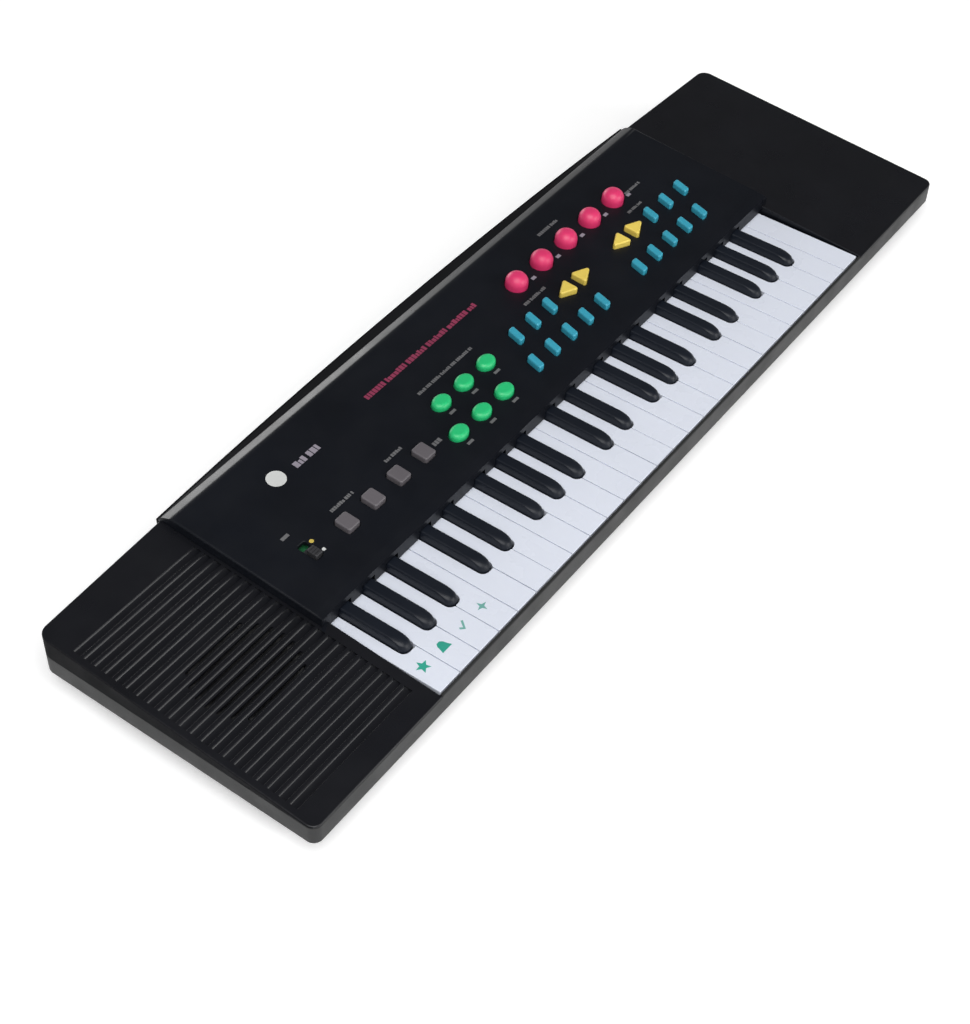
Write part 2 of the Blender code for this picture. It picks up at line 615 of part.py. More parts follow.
def button_groups():
    """Name, web outline, cap height, edge rounding and cap shapes of each set of buttons that share a web."""
    red = [round_cap(pitch_x(15.81 + 1.565 * i), panel_v(8.51), 5.9, 5.9, 16) for i in range(5)]
    green = [round_cap(pitch_x(9.27 + 1.27 * i), panel_v(6.95), 5.5, 4.3, 14) for i in range(3)]
    green += [round_cap(pitch_x(8.55 + 1.285 * i), panel_v(5.67), 5.5, 4.3, 14) for i in range(3)]
    blue_left = [square_cap(pitch_x(12.93 + 1.035 * i), panel_v(5.64), 2.05, 4.75, 1.2, 0.24) for i in range(5)]
    blue_left += [square_cap(pitch_x(13.58 + 1.02 * i), panel_v(6.92), 2.05, 4.75, 1.2, 0.24) for i in range(3)]
    blue_right = [square_cap(pitch_x(19.53 + 1.04 * i), panel_v(5.64), 2.05, 4.75, 1.2, 0.24) for i in range(5)]
    blue_right += [square_cap(pitch_x(22.27 + 1.065 * i), panel_v(6.92), 2.05, 4.75, 1.2, 0.24) for i in range(3)]
    yellow_left = [arrow_cap(pitch_x(16.64), panel_v(6.94), 4.7, 4.8, -1),
                   arrow_cap(pitch_x(17.76), panel_v(6.94), 4.7, 4.8, 1)]
    yellow_right = [arrow_cap(pitch_x(20.13), panel_v(6.94), 4.7, 4.8, -1),
                    arrow_cap(pitch_x(21.25), panel_v(6.94), 4.7, 4.8, 1)]
    grey = [square_cap(pitch_x(3.1 + 1.32 * i), panel_v(6.02), 3.9, 4.6, 1.2) for i in range(4)]

    def web(left, low, right, high):
        return rectangle((pitch_x(left), panel_v(low)), (pitch_x(right), panel_v(high)))

    def l_web(left, low, right, step_left, step_right, step_low, high):
        outline = [(left, low), (right, low), (right, step_low), (step_right, step_low), (step_right, high),
                   (step_left, high), (step_left, step_low), (left, step_low)]
        return [(pitch_x(x), panel_v(v)) for x, v in outline]

    return (
        ("red_buttons", web(15.2, 7.93, 22.7, 9.1), 6.8, 4.4, red),
        ("green_buttons", web(8.0, 5.25, 12.36, 7.4), 3.0, 1.8, green),
        ("blue_buttons_left", l_web(12.6, 5.2, 17.4, 13.2, 15.98, 6.15, 7.36), 2.8, 0.9, blue_left),
        ("blue_buttons_right", l_web(19.2, 5.2, 24.1, 21.9, 24.8, 6.15, 7.36), 2.8, 0.9, blue_right),
        ("yellow_arrows_left", web(16.12, 6.4, 18.3, 7.48), 2.9, 0.9, yellow_left),
        ("yellow_arrows_right", web(19.6, 6.4, 21.74, 7.48), 2.9, 0.9, yellow_right),
        ("grey_buttons", web(2.65, 5.55, 7.5, 6.5), 2.4, 0.8, grey),
    )


def add_panel_parts(finishes, panel_frame, groups):
    for name, web, height, edge, caps in groups:
        buttons = add_object(name, prism(web, WEB_LOW, WEB_TOP), finishes[name], panel_frame)
        tops = joined(*[cap(outline_at, height, edge) for outline_at in caps])
        combine(buttons, "UNION", f"{name}_caps", tops, panel_frame)
        smooth(buttons, 40)
    x, v = SWITCH_PLACE
    knob = joined(box((x - 4.2, v - 8, WEB_LOW - 0.4), (x + 4.2, v + 8 - SWITCH_TRAVEL, WEB_TOP)))
    switch = add_object("power_switch", knob, finishes["power_switch"], panel_frame)
    stem = square_cap(x, v - SWITCH_TRAVEL / 2, 2.2, 2.9, 0.6)
    combine(switch, "UNION", "switch_stem", cap(stem, 2.2, 0.5), panel_frame)
    board = box((pitch_x(0.8), panel_v(5.1), BOARD_LOW), (pitch_x(25.3), panel_v(9.15), BOARD_TOP))
    add_object("panel_circuit_board", board, finishes["board"], panel_frame)


def hole_outlines(groups):
    """Holes in the panel: one round each cap, and the switch's longer slot."""
    outlines = [outline_at(-HOLE_GAP) for _, _, _, _, caps in groups for outline_at in caps]
    x, v = SWITCH_PLACE
    reach = SWITCH_TRAVEL / 2 + 2.9 + HOLE_GAP
    outlines.append(rounded_rectangle((x - 2.2 - HOLE_GAP, v - reach), (x + 2.2 + HOLE_GAP, v + reach), 0.8))
    return outlines


SWITCH_PLACE = (pitch_x(1.5), panel_v(6.2))
SWITCH_TRAVEL = 5.0

for leftover in list(bpy.data.objects):
    bpy.data.objects.remove(leftover)

black_plastic = material("case_black", (0.012, 0.012, 0.015), 0.38)
base_plastic = material("base_black", (0.04, 0.04, 0.042), 0.55)
door_plastic = material("door_black", (0.014, 0.014, 0.016), 0.5)
white_plastic = material("key_white", (0.78, 0.8, 0.84), 0.28)
key_black = material("key_black", (0.01, 0.012, 0.018), 0.3)
speaker_paper = material("speaker_paper", (0.03, 0.03, 0.03), 0.8)
rail_grey = material("rail_grey", (0.3, 0.3, 0.32), 0.5)
board_green = material("board_green", (0.02, 0.16, 0.06), 0.45)
contact_rubber = material("contact_rubber", (0.45, 0.45, 0.46), 0.75)
button_finishes = {
    "red_buttons": material("button_red", (0.8, 0.04, 0.15), 0.4),
    "green_buttons": material("button_green", (0.02, 0.55, 0.2), 0.4),
    "blue_buttons_left": material("button_blue", (0.03, 0.36, 0.5), 0.4),
    "yellow_arrows_left": material("button_yellow", (0.82, 0.56, 0.06), 0.4),
    "grey_buttons": material("button_grey", (0.12, 0.115, 0.125), 0.45),
    "power_switch": material("switch_dark", (0.03, 0.03, 0.033), 0.5),
    "board": board_green,
}
button_finishes["blue_buttons_right"] = button_finishes["blue_buttons_left"]
button_finishes["yellow_arrows_right"] = button_finishes["yellow_arrows_left"]

top_frame = add_frame("panel_frame", (0, PANEL_FRONT_Y, wing_z(PANEL_FRONT_Y) + PANEL_RISE))
all_groups = button_groups()
key_spans = white_spans()
add_upper_case(black_plastic, top_frame, hole_outlines(all_groups))
add_lower_case(base_plastic)
add_battery_door(door_plastic)
add_speaker(speaker_paper)
add_key_rail(rail_grey)
add_key_contacts(board_green, contact_rubber, key_spans)
add_panel_parts(button_finishes, top_frame, all_groups)
for key_number, key_span in enumerate(key_spans, 1):
    add_white_key(key_number, key_span, white_plastic)
for key_number, key_centre in enumerate(black_centres(), 1):
    add_black_key(key_number, key_centre, key_black)
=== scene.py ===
"""Toy electronic keyboard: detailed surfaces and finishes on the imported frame.

Lengths are in millimetres in the frame's own axes and are scaled to metres when a mesh is made.
"""
import math
import random

import bmesh
import bpy
from mathutils import Matrix, Vector


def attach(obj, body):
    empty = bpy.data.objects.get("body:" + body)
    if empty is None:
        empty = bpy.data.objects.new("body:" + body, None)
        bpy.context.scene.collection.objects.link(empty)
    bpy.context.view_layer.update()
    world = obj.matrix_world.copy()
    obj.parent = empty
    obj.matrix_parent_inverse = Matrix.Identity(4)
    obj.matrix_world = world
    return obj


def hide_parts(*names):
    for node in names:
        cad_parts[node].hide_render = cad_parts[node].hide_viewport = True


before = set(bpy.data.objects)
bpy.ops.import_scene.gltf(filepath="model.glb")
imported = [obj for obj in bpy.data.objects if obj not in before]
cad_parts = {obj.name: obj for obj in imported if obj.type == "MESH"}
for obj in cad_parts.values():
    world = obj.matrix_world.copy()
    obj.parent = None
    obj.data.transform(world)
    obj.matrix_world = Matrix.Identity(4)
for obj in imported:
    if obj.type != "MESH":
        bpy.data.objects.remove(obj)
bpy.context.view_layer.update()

MM = 0.001

# Overall case.
CASE_HALF_LENGTH = 266.0
CASE_FRONT_Y = -80.0
PANEL_BACK_Y_CENTRE = 80.0
PANEL_BACK_Y_END = 75.5
WING_BACK_Y_INNER = 73.3
WING_BACK_Y_OUTER = 70.0
FRONT_CORNER_RADIUS = 4.5
BACK_CORNER_RADIUS = 6.0
WALL = 2.2
CLEARANCE = 0.3
BAND_LOW_Z = 12.2
BAND_TOP_Z = 22.7
UPPER_LOW_Z = 23.0
LIP_LOW_Z = 19.5
LIP_TOP_Z = 24.0
LIP_INSET = 2.3
LIP_THICKNESS = 2.0

# Key bed.
PITCH = 14.0
WHITE_COUNT = 26
BED_HALF_LENGTH = 183.0
KEY_FRONT_Y = -77.8
KEY_TOP_Z = 24.0
RAIL_BACK_Y = -78.3
PANEL_FRONT_Y = -19.0
BED_BACK_Y = -18.7
BED_WALL_LOW_Z = 24.6

# Wings and control panel.
WING_SLOPE = 0.0725
TILT = math.atan(WING_SLOPE)
PANEL_HALF_LENGTH = 187.3
PANEL_RISE = 5.0
PANEL_TOP_BACK_Y = 67.8
PANEL_THICKNESS = 2.2
TOP_ROUNDING = 0.65

# Keys.
WHITE_WIDTH = 13.6
WHITE_LOW_Z = 16.9
WHITE_BACK_Y = -13.0
KEY_POCKET_WALL = 1.5
KEY_POCKET_BACK_Y = -57.5
BLACK_WIDTH = 7.4
BLACK_TOP_WIDTH = 6.2
BLACK_FRONT_Y = -54.0
BLACK_BACK_Y = -12.0
BLACK_LOW_Z = 16.5
BLACK_TOP_Z = 28.3
BLACK_GAP = 0.45
BLACK_FRONT_DEPTH = 3.4
BLACK_AFTER_WHITE = (1, 2, 3, 5, 6, 8, 9, 10, 12, 13, 15, 16, 17, 19, 20, 22, 23, 24)
BLACK_OFFSETS = (-0.25, -0.08, 0.09, -0.18, 0.02)
NOTCH_RADIUS = 3.4
PIVOT_Y = 20.0
PIVOT_Z = 18.5
TONGUE_HALF_THICKNESS = 1.0
BULB_RADIUS = 1.8
WHITE_TONGUE_WIDTH = 5.0
BLACK_TONGUE_WIDTH = 4.4

# Speaker grille.
RIDGE_COUNT = 20
RIDGE_PITCH = 5.815
FIRST_RIDGE_Y = -63.4
GROOVE_WIDTH = 4.0
GROOVE_DEPTH = 1.1
GROOVE_LEFT_X = -262.5
GROOVE_RIGHT_X = -188.6
SPEAKER_X = -224.0
SPEAKER_Y = -8.5
SPEAKER_RADIUS = 28.5
GRILLE_RADIUS = 25.0

# Lower case.
CHEEK_LOW_Z = 16.6
KEY_SIDE_LOW_Z = 12.4
KEY_SIDE_BACK_Y = -72.0
RAIL_TOP_Z = 23.8
LOWER_SHOULDER_Z = 11.5
LOWER_BASE_Z = 1.5
LOWER_SHOULDER_INSET = 2.6
LOWER_BASE_INSET = 15.0
LOWER_WALL = 2.0
FOOT_RADIUS = 7.0
FOOT_PLACES = ((-212, -56), (212, -56), (-212, 46), (212, 46))
SCREW_PLACES = ((-238, -58), (238, -58), (-238, 44), (238, 44), (-90, 55), (90, 55))
BAY_LOW = (188.5, -40.0)
BAY_HIGH = (247.5, 22.0)
BAY_TOP_Z = 18.5
BAY_WALL = 2.0

# Panel buttons.
WEB_TOP = -2.5
WEB_LOW = -3.5
HOLE_GAP = 0.35
SWITCH_TRAVEL = 5.0

# Outline, height and edge sizes of the button caps, in millimetres.
RED_RADIUS = 5.9
GREEN_RADII = (5.5, 4.3)
BLUE_CAP = (2.05, 4.75, 1.2, 0.24)
ARROW_CAP = (4.7, 4.8)
GREY_CAP = (3.9, 4.6, 1.2)
SWITCH_CAP = (2.2, 2.9, 0.6)

# Smoothing: points closer than this are one, and edges steeper than this stay crisp.
WELD = 2e-6
CRISP_ANGLE = 32.0

# Material slots of the upper case, and the band of the panel's back edge that is polished.
WALL_SLOT = 1
EDGE_SLOT = 2
EDGE_BAND_START = -0.35
EDGE_BAND_END = 4.9

# Setting: camera, lights as place, target, size and power in metres and watts, floor and sky.
CAMERA_PLACE = (-0.5679, -0.3625, 0.6396)
CAMERA_AZIMUTH, CAMERA_ELEVATION, CAMERA_ROLL = -55.48, 46.53, 2.16
CAMERA_LENS = 65.66
SENSOR_WIDTH = 36.0
SOFTBOXES = (
    ("overhead", (-0.9, -0.7, 1.9), (0, 0, 0), (2.0, 2.0), 50.0),
    ("front", (0.5, -2.2, 0.9), (0, 0, 0), (1.6, 1.0), 20.0),
    ("rim", (0.7, 2.03, 0.37), (-0.187, 0.068, 0.035), (1.2, 0.9), 11.0),
)
FLOOR_HALF = 9
FLOOR_DROP = 0.0002
FLOOR_GLOW = 0.3
SKY_TOP = 0.10
SKY_TOP_AT = 0.3
SKY_STRENGTH = 1.0


# ---- shapes

def wing_z(y):
    """Height of the wings' top surface."""
    return KEY_TOP_Z + WING_SLOPE * (y - KEY_FRONT_Y)


def over_wing(rise):
    """Height as a function of x and y, this far above the wings' surface."""
    return lambda x, y: wing_z(y) + rise


def pitch_x(count):
    """World X of a point given in white keys from the key bed's left end."""
    return (count - WHITE_COUNT / 2) * PITCH


def panel_v(count):
    """Distance up the panel of a point given in white key widths from the keys' front."""
    return KEY_FRONT_Y + count * PITCH - PANEL_FRONT_Y


def ngon(centre, radius_x, radius_y, sides):
    points = []
    for i in range(sides):
        angle = 2 * math.pi * i / sides
        points.append((centre[0] + radius_x * math.cos(angle), centre[1] + radius_y * math.sin(angle)))
    return points


def rectangle(low, high):
    return [(low[0], low[1]), (high[0], low[1]), (high[0], high[1]), (low[0], high[1])]


def rounded_rectangle(low, high, radius, steps=5):
    centres = ((high[0] - radius, high[1] - radius), (low[0] + radius, high[1] - radius),
               (low[0] + radius, low[1] + radius), (high[0] - radius, low[1] + radius))
    points = []
    for quarter, centre in enumerate(centres):
        for i in range(steps + 1):
            angle = math.pi / 2 * (quarter + i / steps)
            points.append((centre[0] + radius * math.cos(angle), centre[1] + radius * math.sin(angle)))
    return points


def at_height(outline, height):
    """Outline as 3-D points. The height is a number, or a function of x and y."""
    if callable(height):
        return [(x, y, height(x, y)) for x, y in outline]
    return [(x, y, height) for x, y in outline]


def ring(*loops):
    """Closed solid through loops of equal length that come back to the first one."""
    count = len(loops[0])
    points = [point for loop in loops for point in loop]
    faces = []
    for level in range(len(loops)):
        first, after = level * count, (level + 1) % len(loops) * count
        for i in range(count):
            j = (i + 1) % count
            faces.append((first + i, first + j, after + j, after + i))
    return points, faces


def loft(*loops):
    """Closed solid through loops of equal length, capped at both ends."""
    count = len(loops[0])
    points = [point for loop in loops for point in loop]
    faces = [tuple(range(count))]
    for level in range(len(loops) - 1):
        first = level * count
        for i in range(count):
            j = (i + 1) % count
            faces.append((first + i, first + j, first + count + j, first + count + i))
    faces.append(tuple(range(len(points) - count, len(points))))
    return points, faces


def stack(*levels):
    """Closed solid through outlines of equal length, each given with its height."""
    return loft(*[at_height(outline, height) for outline, height in levels])


def prism(outline, low, high):
    return stack((outline, low), (outline, high))


def box(low, high):
    return prism(rectangle(low[:2], high[:2]), low[2], high[2])


def cylinder(centre, radius, low, high, sides=32):
    return prism(ngon(centre, radius, radius, sides), low, high)


def soft_top(outline_at, low, high, radius, steps=4):
    """Solid whose upper edge is rounded. The outline is a function of its inset."""
    levels = [(outline_at(0), low)]
    for i in range(steps + 1):
        angle = math.pi / 2 * i / steps
        inset = radius * (1 - math.cos(angle))
        levels.append((outline_at(inset), high - radius * (1 - math.sin(angle))))
    return stack(*levels)


def lathe(profile, sides, centre=(0, 0)):
    """Solid of revolution about Z. The profile runs from the axis round to the axis again."""
    points = [(*centre, profile[0][1])]
    rings = profile[1:-1]
    for radius, height in rings:
        points.extend((x, y, height) for x, y in ngon(centre, radius, radius, sides))
    points.append((*centre, profile[-1][1]))
    last = len(points) - 1
    faces = []
    for i in range(sides):
        j = (i + 1) % sides
        faces.append((0, 1 + j, 1 + i))
        for level in range(len(rings) - 1):
            first = 1 + level * sides
            faces.append((first + i, first + j, first + sides + j, first + sides + i))
        top = 1 + (len(rings) - 1) * sides
        faces.append((top + i, top + j, last))
    return points, faces


def extrude_x(profile, low, high):
    """Solid with the given Y, Z profile from one X to another."""
    return loft([(low, y, z) for y, z in profile], [(high, y, z) for y, z in profile])


def joined(*solids):
    points, faces = [], []
    for solid_points, solid_faces in solids:
        first = len(points)
        points.extend(solid_points)
        faces.extend(tuple(first + i for i in face) for face in solid_faces)
    return points, faces


def leaning(solid, x, y, z):
    """Solid given in a frame that leans back with the case top and has its origin at x, y, z."""
    turn = Matrix.Translation((x, y, z)) @ Matrix.Rotation(TILT, 4, "X")
    return [tuple(turn @ Vector(point)) for point in solid[0]], solid[1]


def on_panel(solid):
    return leaning(solid, 0, PANEL_FRONT_Y, wing_z(PANEL_FRONT_Y) + PANEL_RISE)


# ---- objects

def add_object(name, solid, finish=None):
    """Mesh object with outward faces. Without a finish it is a helper that other objects use."""
    mesh = bpy.data.meshes.new(name)
    work = bmesh.new()
    corners = [work.verts.new(Vector(point) * MM) for point in solid[0]]
    for face in solid[1]:
        work.faces.new([corners[i] for i in face])
    bmesh.ops.recalc_face_normals(work, faces=work.faces)
    work.to_mesh(mesh)
    work.free()
    added = bpy.data.objects.new(name, mesh)
    bpy.context.scene.collection.objects.link(added)
    if finish is None:
        added.hide_render = True
    else:
        mesh.materials.append(finish)
    return added


def combine(target, operation, name, solid):
    """Adds a solid to the target or cuts it away, when bake is called."""
    modifier = target.modifiers.new(name, "BOOLEAN")
    modifier.operation = operation
    modifier.solver = "EXACT"
    modifier.object = add_object(f"helper_{name}", solid)


def bake(target):
    """Replaces the mesh by the one its modifiers make, and removes the helpers."""
    graph = bpy.context.evaluated_depsgraph_get()
    made = bpy.data.meshes.new_from_object(target.evaluated_get(graph))
    helpers = [modifier.object for modifier in target.modifiers if modifier.type == "BOOLEAN"]
    target.modifiers.clear()
    old = target.data
    target.data = made
    bpy.data.meshes.remove(old)
    made.name = target.name
    for helper in helpers:
        bpy.data.objects.remove(helper)
    work = bmesh.new()
    work.from_mesh(made)
    bmesh.ops.remove_doubles(work, verts=work.verts, dist=WELD)
    bmesh.ops.dissolve_degenerate(work, edges=work.edges, dist=WELD)
    work.to_mesh(made)
    work.free()


def soften(target, angle=CRISP_ANGLE):
    """Smooth shading that keeps flat faces flat and edges over the angle crisp."""
    target.data.polygons.foreach_set("use_smooth", [True] * len(target.data.polygons))
    target.data.set_sharp_from_angle(angle=math.radians(angle))
    weighted = target.modifiers.new("flat_faces", "WEIGHTED_NORMAL")
    weighted.keep_sharp = True
    weighted.weight = 100


def bevel_edges(target, chosen, offset, segments=3):
    """Rounds the edges for which chosen(edge) is true."""
    work = bmesh.new()
    work.from_mesh(target.data)
    edges = [edge for edge in work.edges if chosen(edge)]
    bmesh.ops.bevel(work, geom=edges, offset=offset * MM, segments=segments, profile=0.5, affect="EDGES",
                    clamp_overlap=True)
    work.to_mesh(target.data)
    work.free()


def finished(target, body, nodes, angle=CRISP_ANGLE):
    """Shading, body and replaced nodes of a piece."""
    soften(target, angle)
    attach(target, body)
    if nodes:
        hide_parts(*nodes)
    return target


# ---- materials

def wire(tree, start, start_socket, end, end_socket):
    tree.links.new(start.outputs[start_socket], end.inputs[end_socket])


def noise(tree, space, scale, detail, roughness=0.5):
    made = tree.nodes.new("ShaderNodeTexNoise")
    for socket, value in (("Scale", scale), ("Detail", detail), ("Roughness", roughness)):
        made.inputs[socket].default_value = value
    wire(tree, space, "Vector", made, "Vector")
    return made


def moulded(name, colour, roughness, grain=0.05, grain_size=0.35, patch=0.12, specular=0.5, metallic=0.0,
            subsurface=0.0, streak=None):
    """Moulded or coated surface: slow drift of shade, patchy gloss, and a fine grain."""
    made = bpy.data.materials.new(name)
    made.use_nodes = True
    made.diffuse_color = (*colour, 1.0)
    tree = made.node_tree
    shader = tree.nodes["Principled BSDF"]
    shader.inputs["Metallic"].default_value = metallic
    shader.inputs["Specular IOR Level"].default_value = specular
    if subsurface:
        shader.inputs["Subsurface Weight"].default_value = subsurface
        shader.inputs["Subsurface Radius"].default_value = (0.6, 0.6, 0.7)
        shader.inputs["Subsurface Scale"].default_value = 0.001
    place = tree.nodes.new("ShaderNodeTexCoord")
    space = tree.nodes.new("ShaderNodeMapping")
    wire(tree, place, "Object", space, "Vector")
    if streak:
        space.inputs["Scale"].default_value = streak

    drift = noise(tree, space, 22.0, 5.0, 0.6)
    shades = tree.nodes.new("ShaderNodeValToRGB")
    shades.color_ramp.elements[0].position = 0.3
    shades.color_ramp.elements[1].position = 0.72
    shades.color_ramp.elements[0].color = (*[c * (1 - patch) for c in colour], 1.0)
    shades.color_ramp.elements[1].color = (*[min(c * (1 + patch), 1.0) for c in colour], 1.0)
    wire(tree, drift, "Fac", shades, "Fac")
    wire(tree, shades, "Color", shader, "Base Color")

    gloss = noise(tree, space, 60.0, 6.0)
    spread = tree.nodes.new("ShaderNodeMapRange")
    for socket, value in (("From Min", 0.3), ("From Max", 0.7), ("To Min", roughness * 0.86),
                          ("To Max", min(roughness * 1.16, 1.0))):
        spread.inputs[socket].default_value = value
    wire(tree, gloss, "Fac", spread, "Value")
    wire(tree, spread, "Result", shader, "Roughness")

    fine = noise(tree, space, 1.0 / (grain_size * MM), 3.0)
    bump = tree.nodes.new("ShaderNodeBump")
    bump.inputs["Strength"].default_value = grain
    bump.inputs["Distance"].default_value = 0.0003
    wire(tree, fine, "Fac", bump, "Height")
    wire(tree, bump, "Normal", shader, "Normal")
    return made


CASE_BLACK = moulded("case_black", (0.0055, 0.0066, 0.0098), 0.40, grain=0.10, grain_size=0.45, patch=0.16,
                     specular=0.2)
EDGE_BLACK = moulded("edge_black", (0.0062, 0.0066, 0.009), 0.30, grain=0.08, grain_size=0.6, patch=0.18,
                     specular=0.4)
WALL_BLACK = moulded("wall_black", (0.0075, 0.0077, 0.009), 0.62, grain=0.16, grain_size=0.5, patch=0.14,
                     specular=0.04)
BASE_BLACK = moulded("base_black", (0.028, 0.0285, 0.029), 0.5, grain=0.22, grain_size=0.6, patch=0.10,
                     specular=0.21)
DOOR_BLACK = moulded("door_black", (0.009, 0.009, 0.0105), 0.46, grain=0.2, grain_size=0.6, patch=0.14)
KEY_WHITE = moulded("key_white", (0.74, 0.775, 0.865), 0.28, grain=0.02, grain_size=1.2, patch=0.02,
                    subsurface=0.05)
KEY_BLACK = moulded("key_black", (0.0075, 0.010, 0.016), 0.38, grain=0.04, grain_size=0.6, patch=0.15,
                    specular=0.3)
RED = moulded("button_red", (0.72, 0.038, 0.15), 0.38, grain=0.04, patch=0.06, subsurface=0.1)
GREEN = moulded("button_green", (0.02, 0.52, 0.18), 0.38, grain=0.04, patch=0.07, subsurface=0.1)
BLUE = moulded("button_blue", (0.04, 0.34, 0.465), 0.38, grain=0.04, patch=0.07, subsurface=0.1)
YELLOW = moulded("button_yellow", (0.80, 0.61, 0.115), 0.38, grain=0.04, patch=0.06, subsurface=0.1)
GREY = moulded("button_grey", (0.115, 0.105, 0.115), 0.42, grain=0.06, patch=0.1)
SWITCH = moulded("switch_dark", (0.03, 0.03, 0.033), 0.45, grain=0.08, patch=0.12)
PAPER = moulded("speaker_paper", (0.028, 0.028, 0.028), 0.85, grain=0.6, grain_size=0.5, patch=0.25)
STEEL = moulded("zinc_steel", (0.55, 0.56, 0.58), 0.33, grain=0.05, patch=0.08, metallic=1.0)
FOOT_RUBBER = moulded("foot_rubber", (0.022, 0.022, 0.023), 0.8, grain=0.35, grain_size=0.5, patch=0.2)
RAIL_GREY = moulded("rail_grey", (0.29, 0.29, 0.31), 0.5, grain=0.12, patch=0.08)
BOARD_GREEN = moulded("board_green", (0.02, 0.15, 0.055), 0.4, grain=0.12, grain_size=0.8, patch=0.15,
                      streak=(1, 14, 1))
CONTACT = moulded("contact_rubber", (0.44, 0.44, 0.45), 0.72, grain=0.15, patch=0.07)
INK_PALE = moulded("ink_pale", (0.62, 0.63, 0.62), 0.5, grain=0.05, patch=0.1)
INK_GREY = moulded("ink_grey", (0.13, 0.13, 0.135), 0.5, grain=0.05, patch=0.15)
INK_LILAC = moulded("ink_lilac", (0.27, 0.245, 0.29), 0.5, grain=0.05, patch=0.12)
INK_RED = moulded("ink_red", (0.24, 0.03, 0.075), 0.5, grain=0.05, patch=0.15)
INK_YELLOW = moulded("ink_yellow", (0.55, 0.42, 0.08), 0.5, grain=0.05, patch=0.1)
INK_GREEN = moulded("ink_green", (0.03, 0.34, 0.25), 0.45, grain=0.04, patch=0.12)
INK_MINT = moulded("ink_mint", (0.17, 0.43, 0.38), 0.45, grain=0.04, patch=0.12)


# ---- case outlines

def panel_back_y(x):
    return PANEL_BACK_Y_CENTRE - (PANEL_BACK_Y_CENTRE - PANEL_BACK_Y_END) * (x / PANEL_HALF_LENGTH) ** 2


def straight_back(moved):
    """Back edge of a panel level as a function of x, this far behind the panel top's back edge."""
    return lambda x: PANEL_TOP_BACK_Y + moved


def wing_back_y(x):
    along = (abs(x) - PANEL_HALF_LENGTH) / (CASE_HALF_LENGTH - PANEL_HALF_LENGTH)
    return WING_BACK_Y_INNER + (WING_BACK_Y_OUTER - WING_BACK_Y_INNER) * along


def corner(centre_x, centre_y, radius, quarter, steps):
    points = []
    for i in range(steps + 1):
        angle = math.pi / 2 * (quarter + i / steps)
        points.append((centre_x + radius * math.cos(angle), centre_y + radius * math.sin(angle)))
    return points


def case_outline(inset, corner_steps=12, back_steps=28):
    """Plan of the case, anticlockwise from the front left. It steps where the panel meets the wings."""
    side = CASE_HALF_LENGTH - inset
    front = CASE_FRONT_Y + inset
    front_radius = max(FRONT_CORNER_RADIUS - inset, 1.5)
    back_radius = max(BACK_CORNER_RADIUS - inset, 1.5)
    back = wing_back_y(side - back_radius) - inset
    points = corner(-side + front_radius, front + front_radius, front_radius, 2, corner_steps)
    points += corner(side - front_radius, front + front_radius, front_radius, 3, corner_steps)
    points += corner(side - back_radius, back - back_radius, back_radius, 0, corner_steps)
    panel_side = PANEL_HALF_LENGTH - inset
    points.append((panel_side, wing_back_y(PANEL_HALF_LENGTH) - inset))
    for i in range(back_steps + 1):
        x = panel_side * (1 - 2 * i / back_steps)
        points.append((x, panel_back_y(x) - inset))
    points.append((-panel_side, wing_back_y(PANEL_HALF_LENGTH) - inset))
    points += corner(-side + back_radius, back - back_radius, back_radius, 1, corner_steps)
    return points


def panel_loop(side_inset, front_y, back_y, rise, steps=28):
    """One level of the raised panel, with its height measured from the wings' surface."""
    side = PANEL_HALF_LENGTH - side_inset
    outline = [(-side, front_y), (side, front_y)]
    for i in range(steps + 1):
        x = side * (1 - 2 * i / steps)
        outline.append((x, back_y(x)))
    front_rise, back_rise = rise
    points = []
    for x, y in outline:
        lift = front_rise if y == front_y else back_rise
        points.append((x, y, wing_z(y) + lift))
    return points


def black_centres():
    """World X of each black key."""
    return [pitch_x(boundary + BLACK_OFFSETS[i % 5]) for i, boundary in enumerate(BLACK_AFTER_WHITE)]


def white_spans():
    """For each white key, its X limits at the front and between the black keys behind."""
    spans = []
    centres = black_centres()
    margin = BLACK_WIDTH / 2 + BLACK_GAP
    for i in range(WHITE_COUNT):
        middle = pitch_x(i + 0.5)
        left, right = middle - WHITE_WIDTH / 2, middle + WHITE_WIDTH / 2
        inner_left = max([left] + [x + margin for x in centres if x < middle and x + margin > left])
        inner_right = min([right] + [x - margin for x in centres if x > middle and x - margin < right])
        spans.append((left, inner_left, inner_right, right))
    return spans


# ---- buttons

def round_cap(x, v, radius_x, radius_y, sides=40):
    return lambda inset: ngon((x, v), radius_x - inset, radius_y - inset, sides)


def square_cap(x, v, half_x, half_y, radius, lean=0.0):
    """Rounded rectangle, whose upper end may lean to the right."""
    def outline(inset):
        upright = rounded_rectangle((x - half_x + inset, v - half_y + inset),
                                    (x + half_x - inset, v + half_y - inset), max(radius - inset, 0.25), 5)
        return [(px + lean * (pv - v), pv) for px, pv in upright]
    return outline


def arrow_cap(x, v, half_x, half_y, way):
    """Triangle with round corners. The way is 1 for a point to the right and -1 for one to the left."""
    def outline(inset):
        radius = 1.1 - inset * 0.6
        length, side = half_x - inset, half_y - inset * 1.4
        tips = ((-length + radius, -side + radius * 1.3), (length - radius * 1.1, 0),
                (-length + radius, side - radius * 1.3))
        points = []
        for k, (cx, cy) in enumerate(tips):
            middle = math.radians((-118, 0, 118)[k])
            half = math.radians((62, 56, 62)[k])
            for i in range(7):
                angle = middle - half + 2 * half * i / 6
                points.append((x + way * (cx + radius * math.cos(angle)), v + cy + radius * math.sin(angle)))
        return points
    return outline


